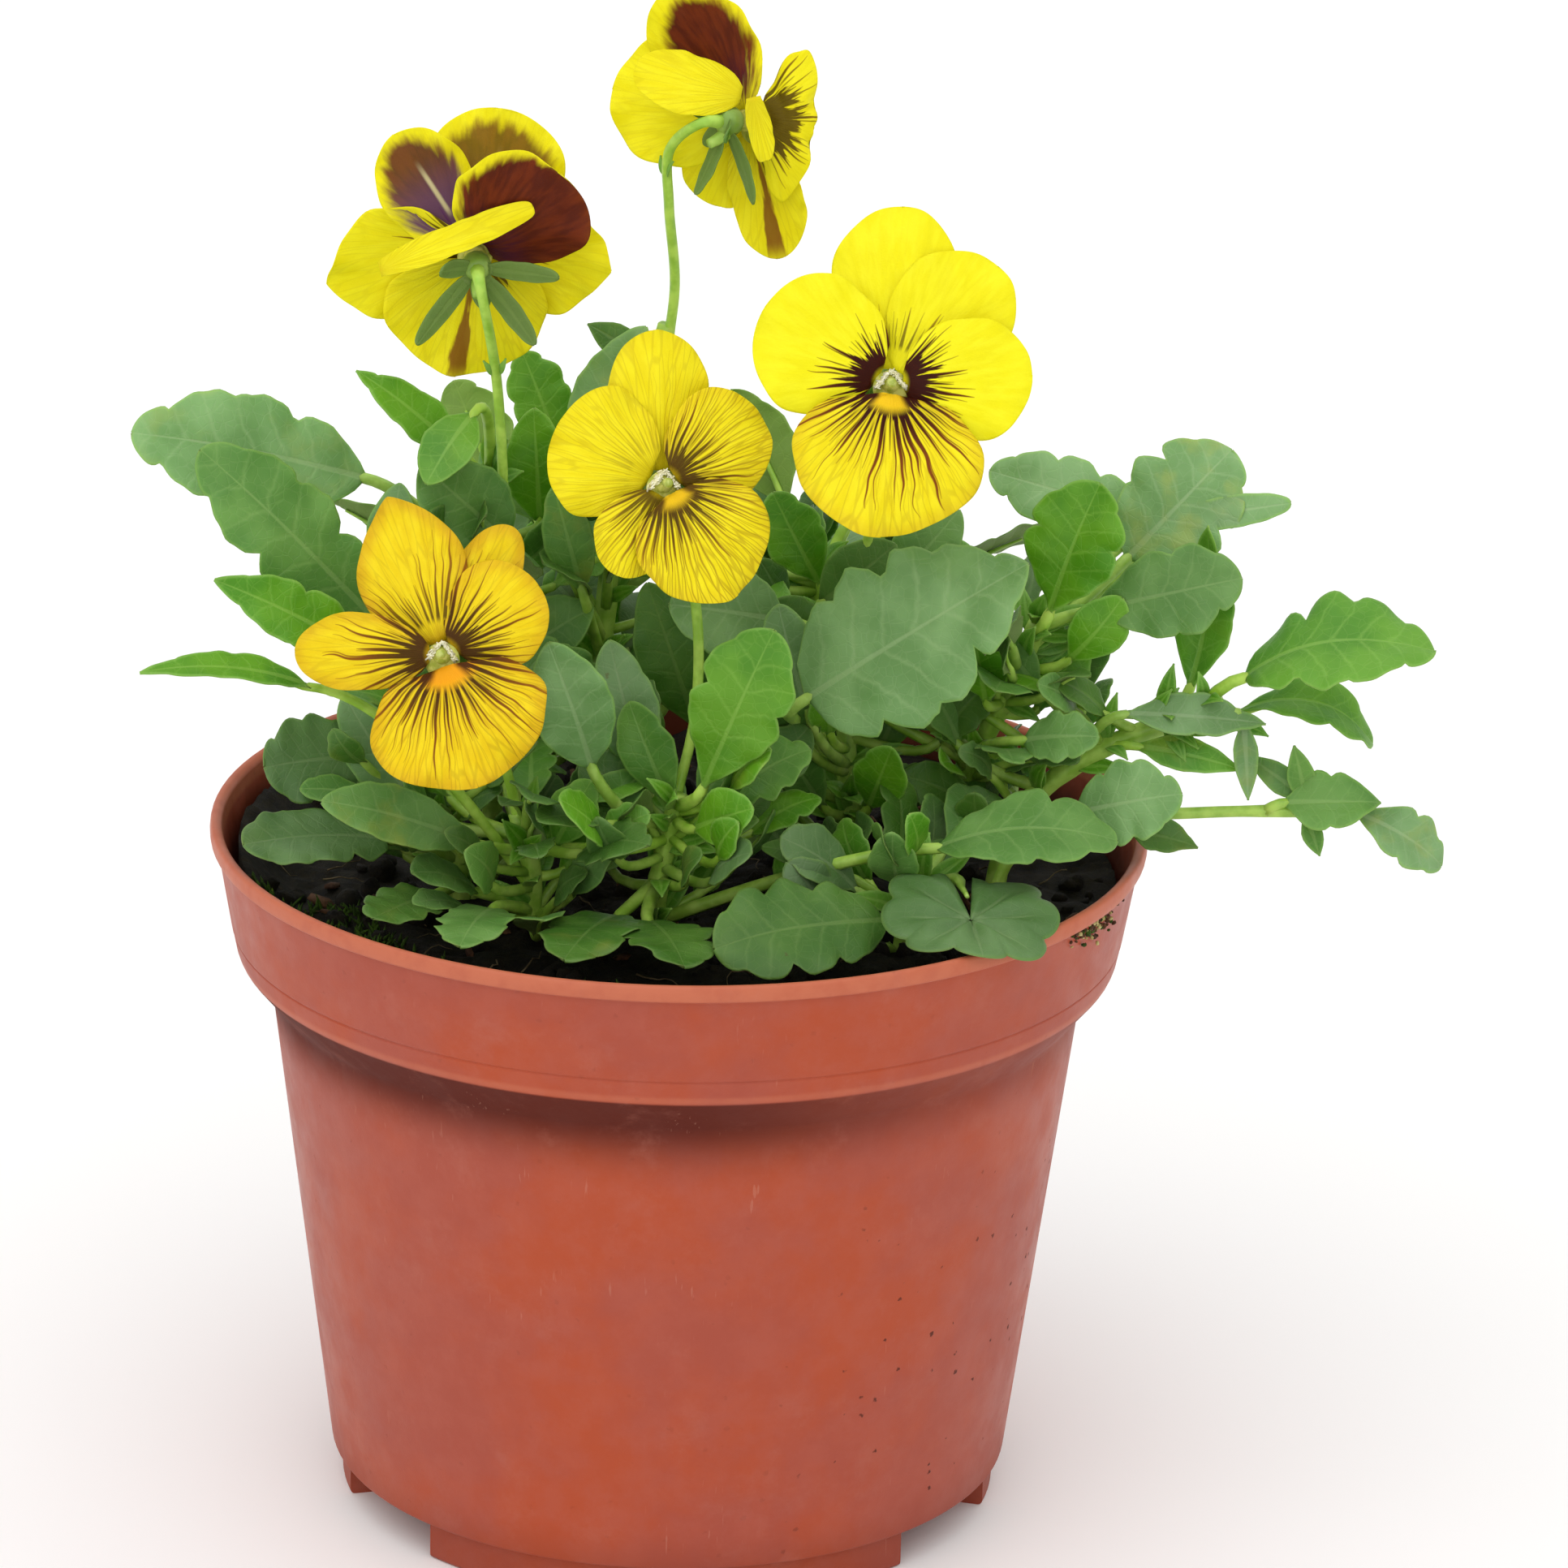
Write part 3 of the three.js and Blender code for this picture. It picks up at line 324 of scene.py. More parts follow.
def greater(first, second):
    return maths("MAXIMUM", first, second)


def swing(value, amount):
    """How far a value that runs round 0.5 goes either way, times an amount."""
    return (value - 0.5) * amount


def vector(x, y, z):
    return node("CombineXYZ", {0: x, 1: y, 2: z})[0]


def eased(value, low, high, at_low=0.0, at_high=1.0):
    """A smooth change from at_low to at_high as value goes from low to high."""
    inputs = {"Value": value, "From Min": low, "From Max": high, "To Min": at_low, "To Max": at_high}
    return node("MapRange", inputs, interpolation_type="SMOOTHSTEP")[0]


def tinted(amount, first, second, blend="MIX"):
    inputs = {0: amount, 6: first, 7: second}
    return node("Mix", inputs, data_type="RGBA", blend_type=blend)[2]


def noise(coordinates, size, detail=3.0, roughness=0.5):
    """Soft noise round 0.5 whose patches are about this size in millimetres."""
    inputs = {"Vector": coordinates, "Scale": 1 / size, "Detail": detail, "Roughness": roughness}
    return node("TexNoise", inputs)[0]


def mottled(coordinates, size, at_low=0.0, at_high=1.0, spread=0.15):
    """Patches of about this size whose value runs from at_low to at_high."""
    return eased(noise(coordinates, size), 0.5 - spread, 0.5 + spread, at_low, at_high)


def new_group(name, inputs, output):
    """A node group: its tree, what it is given, and the socket for its result. Place is a vector."""
    tree = bpy.data.node_groups.new(name, "ShaderNodeTree")
    for socket in inputs:
        kind = "NodeSocketVector" if socket == "Place" else "NodeSocketFloat"
        tree.interface.new_socket(socket, in_out="INPUT", socket_type=kind)
    tree.interface.new_socket(output, in_out="OUTPUT", socket_type="NodeSocketFloat")
    given = {socket.name: Value(socket) for socket in tree.nodes.new("NodeGroupInput").outputs}
    return tree, given, tree.nodes.new("NodeGroupOutput").inputs[output]


def grouped(group, **inputs):
    """Places a node group in a material, and gives its result."""
    return node("Group", inputs, node_tree=group)[0]


def loose_specks():
    """Specks of uneven size and outline, one to a cell where chance allows; sizes are in millimetres."""
    tree, given, result = new_group("loose_specks", ("Place", "Cell", "Radius", "Chance"), "Specks")
    wander = node("TexNoise", {"Vector": given["Place"], "Scale": 1.6, "Detail": 2.0})[1]
    moved = node("VectorMath", {0: given["Place"], 1: wander}, operation="ADD")[0]
    cells = node("TexVoronoi", {"Vector": moved, "Scale": 1.0 / given["Cell"]})
    distance = cells["Distance"] * given["Cell"]
    lot = node("SeparateColor", {0: cells["Color"]})
    radius = given["Radius"] * (0.35 + lot[1])
    speck = eased(radius - distance, -0.1, 0.1)
    chosen = maths("LESS_THAN", lot[0], given["Chance"])
    feed(result, speck * chosen)
    return tree


SPECKS = loose_specks()


def new_material(name):
    """A material: itself, its Principled shader, and the object's own coordinates in millimetres."""
    material = bpy.data.materials.new(name)
    material.use_nodes = True
    tree = material.node_tree
    own = node("TexCoord", {}, tree)["Object"]
    place = node("VectorMath", {0: own, "Scale": 1 / MM}, operation="SCALE")[0]
    return material, tree.nodes["Principled BSDF"], place


def finish_with(shader, **inputs):
    """Feeds the Principled shader. A name with _ stands for the socket with a space."""
    for name, value in inputs.items():
        feed(shader.inputs[name.replace("_", " ")], value)


def lit_through(shader, weight, reach):
    """Lets light into thin flesh; reach is how far each colour goes, as a share of the greatest."""
    finish_with(shader, Subsurface_Weight=weight, Subsurface_Scale=1.2 * MM, Subsurface_Radius=reach)


def bumped(height, strength, distance):
    """A normal from a height field; distance is in millimetres."""
    return node("Bump", {"Height": height, "Strength": strength, "Distance": distance * MM})[0]


def terracotta_plastic():
    material, shader, place = new_material("terracotta_plastic")
    axes = node("SeparateXYZ", {0: place})
    sideways, height = axes["X"], axes["Z"]
    cloudy = eased(noise(place, 26, 5.0, 0.62), 0.36, 0.64)
    dappled = eased(noise(place, 5.5, 4.0, 0.65), 0.35, 0.7)
    clay = tinted(cloudy, "AE4A2A", "A44C3A")
    clay = tinted(dappled * 0.35, clay, "B05A48")
    # paler on the lip, partly a painted highlight where the lip catches the light from above and partly
    # rubbed by hands and other pots; the edge of the collar is rubbed paler too
    lip_highlight_and_rub = eased(height, POT_HEIGHT - 2.7, POT_HEIGHT - 1.9)
    collar_edge = eased(abs(height - (COLLAR_LOW_Z + 0.4)), 0.9, 0.1)
    rub_and_lip_highlight = greater(lip_highlight_and_rub, collar_edge * 0.5) * eased(noise(place, 3.0), 0.25, 0.6, 0.6, 0.85)
    clay = tinted(rub_and_lip_highlight, clay, "C46E50")
    # painted shadow under the collar: full from the collar's edge to the bevel, fading over 12 mm below it
    # and weaker towards the right; the foot is also darker towards its bottom
    collar_shadow = eased(height, BEVEL_Z - 12, BEVEL_Z + 1) ** 2.0
    collar_shadow_reach = eased(height, COLLAR_LOW_Z, COLLAR_LOW_Z - 0.5) * eased(sideways, 0, 48, 1.0, 0.45)
    at_foot = eased(height, 13, 3, 0.0, 0.3)
    collar_shadow_and_foot_dark = greater(collar_shadow * collar_shadow_reach, at_foot) * 0.95
    clay = tinted(collar_shadow_and_foot_dark, clay, "541C10")
    dust = eased(noise(place, 9, 6.0, 0.7), 0.5, 0.75) * 0.2
    clay = tinted(dust, clay, "B87464")
    # painted shade on the inward-facing wall, full from about 6 mm below the lip down to the soil, with a
    # ragged upper edge
    outward = node("VectorMath", {0: place, 1: (1, 1, 0)}, operation="MULTIPLY")[0]
    facing = node("TexCoord", {}, material.node_tree)["Normal"]
    turned_in = node("VectorMath", {0: facing, 1: outward}, operation="DOT_PRODUCT")["Value"]
    shade_edge_height = height + cloudy * 3.0
    inner_wall_shade = eased(turned_in, -5, -15) * eased(shade_edge_height, POT_HEIGHT, POT_HEIGHT - 6)
    clay = tinted(inner_wall_shade * 0.8, clay, "33190F")
    # short pale scuffs that run a little aslant, dark crumbs of dried soil, pale grit
    aslant = {"Vector": place, "Rotation": (0.5, 0.3, 0.4), "Scale": (1.0, 0.7, 0.09)}
    streaks = noise(node("Mapping", aslant)[0], 0.55, 2.0)
    patchy = eased(noise(place, 14), 0.52, 0.66)
    scuffs = eased(streaks, 0.66, 0.74) * patchy
    pale = grouped(SPECKS, Place=place, Cell=9.0, Radius=0.24, Chance=0.4)
    splashed = eased(height, 75, 40) * eased(sideways, 8, 30)
    dark = grouped(SPECKS, Place=place, Cell=2.6, Radius=0.3, Chance=0.5) * greater(splashed, 0.12)
    clay = tinted(scuffs * 0.2, clay, "D09A86")
    clay = tinted(pale * 0.6, clay, "DDAE9C")
    clay = tinted(dark * 0.85, clay, "4A2016")
    gloss = eased(noise(place, 7, 4.0, 0.6), 0.3, 0.7, 0.36, 0.5)
    gloss = gloss + (collar_shadow_and_foot_dark + dust) * 0.35 + (scuffs + dark) * 0.25
    grain, ripple = noise(place, 0.35, 2.0), noise(place, 11, 2.0)
    normal = bumped(grain * 0.35 + ripple * 1.6 + dark * 2.0, 0.35, 0.12)
    finish_with(shader, Base_Color=clay, Roughness=gloss, Normal=normal)
    finish_with(shader, IOR=POLYPROPYLENE_IOR, Specular_IOR_Level=0.22)
    return material


pot_skin = Skin()
pot_rings = np.concatenate([turned(outside_of_pot, 0), turned(inside_of_pot, WALL)])
pot_skin.loft(pot_rings)
pot = pot_skin.piece("nursery_pot", terracotta_plastic())
cleaned(pot, 40)
drains = [math.radians(centre) for centre in BAY_CENTRES]
drill(pot, [(DRAIN_CIRCLE * math.cos(a), DRAIN_CIRCLE * math.sin(a), DRAIN_RADIUS) for a in drains])
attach(pot, "root")
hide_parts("pot")

# ---------------------------------------------------------------- the potting soil
# Dark peat compost, pressed in when the plant was potted on: crumbs, bits of bark and pale root
# fibres lie on it, moss has started at the front left, and a smear of it has dried under the lip.

SOIL_LEVEL = 88.5
SOIL_RADIUS = 61.0
SOIL_CLEARANCE = 0.45
CRUMBS = 520
BARK_CHIPS = 70
FIBRES = 60
MOSS_SHOOTS = 620
MOSS_FROM, MOSS_TO = 196, 262
SMEAR_SPECKS = 95
SMEAR_ANGLE = -27.5
chance = random.Random(7)


def soil_height(x, y):
    spot = Vector((x, y, 0))
    swell = 1.5 * fractal(spot / 24, 1.0, 2.0, 2)
    crumble = 1.1 * fractal(spot / 5, 0.8, 2.1, 4)
    from_left = math.degrees(math.atan2(y, -x))
    heap = 0.8 + 6.5 * math.exp(-((from_left / 32) ** 2))
    at_wall = math.exp(-(((math.hypot(x, y) - SOIL_RADIUS) / 4.5) ** 2))
    return SOIL_LEVEL + swell + crumble + heap * at_wall


def soil_side(in_bay):
    """The sides of the root ball, which fills the pot from its floor up."""
    foot = (BAY_RADIUS if in_bay else FOOT_RADIUS) - WALL - SOIL_CLEARANCE
    inset = WALL + SOIL_CLEARANCE
    return rounded([
        (4, inset, 0),
        (foot, inset, 0.5),
        (foot, BAY_HEIGHT + inset, 0.3),
        (FOOT_RADIUS - inset, FOOT_HEIGHT + inset + 0.3, 0.3),
        (LEDGE_RADIUS - inset, FOOT_HEIGHT + 3.2, 0.5),
        (BEVEL_RADIUS - inset, BEVEL_Z + 0.7, 0.5),
        (COLLAR_LOW_RADIUS - inset, COLLAR_LOW_Z + 0.7, 0.5),
        (COLLAR_LOW_RADIUS - inset + 0.8, SOIL_LEVEL - 4, 0.5),
        (10, SOIL_LEVEL - 3.5, 0),
    ])


def soil_top(columns=260, rings=46):
    """The crumbly surface, as a shallow disc that lies in the top of the root ball."""
    outline = [(2, SOIL_LEVEL - 4), (SOIL_RADIUS - 3, SOIL_LEVEL - 4), (SOIL_RADIUS, SOIL_LEVEL - 2.5)]
    outline += [(SOIL_RADIUS * (1 - (row / rings) ** 1.1), None) for row in range(rings)]
    around = np.linspace(0, 2 * math.pi, columns, endpoint=False)
    made = []
    for radius, height in outline:
        x, y = radius * np.cos(around), radius * np.sin(around)
        z = [height if height is not None else soil_height(*spot) for spot in zip(x, y)]
        made.append(np.stack([x, y, z], 1))
    return made


def ball_mesh(subdivisions):
    ball = bmesh.new()
    bmesh.ops.create_icosphere(ball, subdivisions=subdivisions, radius=1)
    points = np.array([point.co for point in ball.verts])
    faces = [tuple(point.index for point in face.verts) for face in ball.faces]
    ball.free()
    return points, faces


BALL = ball_mesh(2)
SMALL_BALL = ball_mesh(1)


def scatter(spread):
    """A small random step, as likely in any direction."""
    return np.array([chance.gauss(0, spread) for _ in range(3)])


def turn_at_random():
    axis = Vector(scatter(1)).normalized()
    return np.array(Matrix.Rotation(chance.uniform(0, 2 * math.pi), 3, axis))


def lump(skin, ball, centre, radii, material, ragged=0.35):
    """A crumb or chip: a ball pushed in and out at random, squashed to its radii and turned any way."""
    points, faces = ball
    seed = Vector([chance.uniform(-50, 50) for _ in range(3)])
    swell = np.array([1 + ragged * fractal(Vector(point) * 1.3 + seed, 1.0, 2.0, 3) for point in points])
    skin.add((points * swell[:, None] * radii) @ turn_at_random().T + centre, faces, material)


def unit(vectors):
    vectors = np.asarray(vectors, float)
    return vectors / np.linalg.norm(vectors, axis=-1, keepdims=True)


def tapered_rod(skin, centres, radii, sides, material=0, ribs=0.0, **values):
    """A rod of the given radii along a line of points; ribs gives it five shallow lengthwise ridges."""
    centres = np.asarray(centres, float)
    radii = np.broadcast_to(radii, len(centres))
    ways = unit(np.gradient(centres, axis=0))
    side = np.cross(ways[0], [0.31, 0.17, 0.93])
    if np.linalg.norm(side) < 0.05:
        side = np.cross(ways[0], [1.0, 0.0, 0.0])
    around = np.linspace(0, 2 * math.pi, sides, endpoint=False)
    ridge = 1 + ribs * np.cos(5 * around)
    rings = []
    for centre, way, radius in zip(centres, ways, radii):
        side = unit(side - way * (side @ way))
        other = np.cross(way, side)
        circle = np.cos(around)[:, None] * side + np.sin(around)[:, None] * other
        rings.append(centre + circle * (radius * ridge)[:, None])
    skin.loft(rings, material, **values)


def soil_spot(least_radius, most_radius, from_angle=0.0, to_angle=360.0):
    """A point on the soil between two distances from the middle and two angles in degrees."""
    radius = math.sqrt(chance.uniform(least_radius**2, most_radius**2))
    angle = math.radians(chance.uniform(from_angle, to_angle))
    x, y = radius * math.cos(angle), radius * math.sin(angle)
    return np.array([x, y, soil_height(x, y)])


def earthy(name, dark, light, pale, patch, bump=0.5):
    """A dull crumbly material between two colours, with some paler spots."""
    material, shader, place = new_material(name)
    patches = eased(noise(place, patch, 6.0, 0.7), 0.35, 0.68)
    mixed = tinted(patches, dark, light)
    spots = grouped(SPECKS, Place=place, Cell=2.4, Radius=0.3, Chance=0.3)
    mixed = tinted(spots * 0.5, mixed, pale)
    damp = eased(noise(place, 6), 0.4, 0.6, 0.7, 0.98)
    height = noise(place, patch / 4, 5.0, 0.7)
    normal = bumped(height, bump, 0.6)
    finish_with(shader, Base_Color=mixed, Roughness=damp, Normal=normal, Specular_IOR_Level=0.25)
    return material


PEAT, BARK, ROOT_FIBRE, MOSS, GRIT = range(5)
soil_skin = Skin()
soil_skin.loft(turned(soil_side, WALL + SOIL_CLEARANCE), PEAT)
soil_skin.loft(soil_top(), PEAT)
for _ in range(CRUMBS):
    size = chance.uniform(0.5, 1.9) ** 1.1
    radii = [size * chance.uniform(0.7, 1.2) for _ in range(3)]
    lump(soil_skin, SMALL_BALL if size < 1.2 else BALL, soil_spot(0, SOIL_RADIUS - 2.5), radii, PEAT)
for _ in range(BARK_CHIPS):
    radii = [chance.uniform(1.2, 3), chance.uniform(0.5, 1.1), chance.uniform(0.25, 0.5)]
    lump(soil_skin, SMALL_BALL, soil_spot(0, SOIL_RADIUS - 3.5) + [0, 0, 0.4], radii, BARK, 0.25)
for _ in range(FIBRES):
    start = soil_spot(0, SOIL_RADIUS - 3)
    heading = chance.uniform(0, 2 * math.pi)
    fibre = [start + [0, 0, 0.5]]
    for _ in range(7):
        heading += chance.gauss(0, 0.5)
        x, y = fibre[-1][:2] + np.array([math.cos(heading), math.sin(heading)])
        if math.hypot(x, y) > SOIL_RADIUS - 1:
            break
        fibre.append(np.array([x, y, soil_height(x, y) + 0.35 + 0.4 * chance.random()]))
    if len(fibre) > 3:
        tapered_rod(soil_skin, fibre, np.linspace(0.16, 0.06, len(fibre)), 4, ROOT_FIBRE)
for _ in range(MOSS_SHOOTS):
    foot = soil_spot(46, SOIL_RADIUS - 0.6, MOSS_FROM, MOSS_TO)
    lean = np.array([chance.gauss(0, 0.45), chance.gauss(0, 0.45), 1.0]) * chance.uniform(0.8, 2.0)
    shoot = [foot - [0, 0, 0.3], foot + 0.5 * lean, foot + lean]
    tapered_rod(soil_skin, shoot, [0.32, 0.26, 0.05], 4, MOSS)
for _ in range(SMEAR_SPECKS):
    # the smear dried on the collar just under the lip, at the right
    angle = math.radians(chance.gauss(SMEAR_ANGLE, 3.2))
    z = POT_HEIGHT - 2.6 - abs(chance.gauss(0, 1.1))
    radius = COLLAR_TOP_RADIUS - 0.1
    spot = np.array([radius * math.cos(angle), radius * math.sin(angle), z])
    size = chance.uniform(0.2, 0.52)
    kind = chance.choice((BARK, BARK, BARK, MOSS, GRIT, GRIT))
    lump(soil_skin, SMALL_BALL, spot, [size, size * chance.uniform(0.6, 1), size * 0.7], kind)
soil = soil_skin.piece(
    "peat_soil",
    earthy("peat", "0D0B06", "262010", "443820", 1.5, 0.9),
    earthy("bark_chips", "3A2416", "6B4A2E", "8A6A48", 1.2),
    earthy("root_fibre", "4E4228", "74664A", "8A7C5E", 2.0),
    earthy("moss", "1E3008", "4A6A18", "7A9430", 1.4),
    earthy("grit", "A89858", "D8CC90", "EEE4B4", 0.8),
)
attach(soil, "root")
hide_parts("potting_soil")

# ---------------------------------------------------------------- the leafy stems
# Twelve soft, shallowly ridged stems stand in the soil. Each carries stalked leaves with rounded teeth,
# narrow leafy stipules at the joints and, on five of them, a flower stalk with its calyx and pistil.

STEM_FOOT_Z = 76
CROWN_Z = 150
STEM_RADIUS = 1.5
PETIOLE_RADIUS = 0.9
STALK_RADIUS = 0.72
HUB_HALF_LENGTH = 2.2
STALK_NECK = 6
CALYX_DROP = 4.4
LEAF_THICKNESS = 0.34
STIPULES = 3
STIPULE_LENGTH = 9
FRONT_UNDERGROWTH = 24
BACK_UNDERGROWTH = 44

# What each point carries: its place on its blade in millimetres and the blade's length, the side veins
# counted from the root, the distance to the edge, whether it is on the underside, then its tone and lot.
LEAF_LAYERS = ("across", "along", "length", "vein", "rim", "under", "grey", "light", "lot")

# peak: where along the blade it is widest; root and crown: how its two ends narrow; lobes and cut:
# rounded teeth on each side and their depth; plain: the length at the root without teeth;
# fold: how steeply the two halves rise from the midrib; wave: edge ripple.
FORMS = {
    "spoon": dict(peak=0.62, root=1.25, crown=0.5, lobes=2, cut=0.28, plain=0.35, fold=0.22, wave=0.02),
    "young": dict(peak=0.6, root=1.1, crown=0.55, lobes=1, cut=0.2, plain=0.45, fold=0.2, wave=0.02),
    "oval": dict(peak=0.5, root=0.75, crown=0.6, lobes=1, cut=0.12, plain=0.4, fold=0.2, wave=0.02),
    "round": dict(peak=0.5, root=0.42, crown=0.42, lobes=3, cut=0.26, plain=0.02, fold=0.12, wave=0.03),
    "crenate": dict(peak=0.52, root=0.6, crown=0.5, lobes=3, cut=0.32, plain=0.08, fold=0.12, wave=0.03),
    "lobed": dict(peak=0.4, root=0.45, crown=0.7, lobes=4, cut=0.34, plain=0.04, fold=0.1, wave=0.03),
    "pointed": dict(peak=0.42, root=0.9, crown=0.85, lobes=2, cut=0.24, plain=0.15, fold=0.3, wave=0.03),
    "lance": dict(peak=0.4, root=0.8, crown=0.9, lobes=0, cut=0, plain=1, fold=0.25, wave=0),
    "strap": dict(peak=0.5, root=0.35, crown=0.4, lobes=0, cut=0, plain=1, fold=0.12, wave=0),
}
# How grey with wax and how light a leaf is.
TONES = {
    "silver": (1.0, 1.12),
    "grey": (0.95, 0.92),
    "dusky": (0.75, 0.6),
    "mid": (0.4, 0.84),
    "fresh": (0.02, 1.03),
    "deep": (0.3, 0.56),
    "olive": (0.0, 0.64),
}

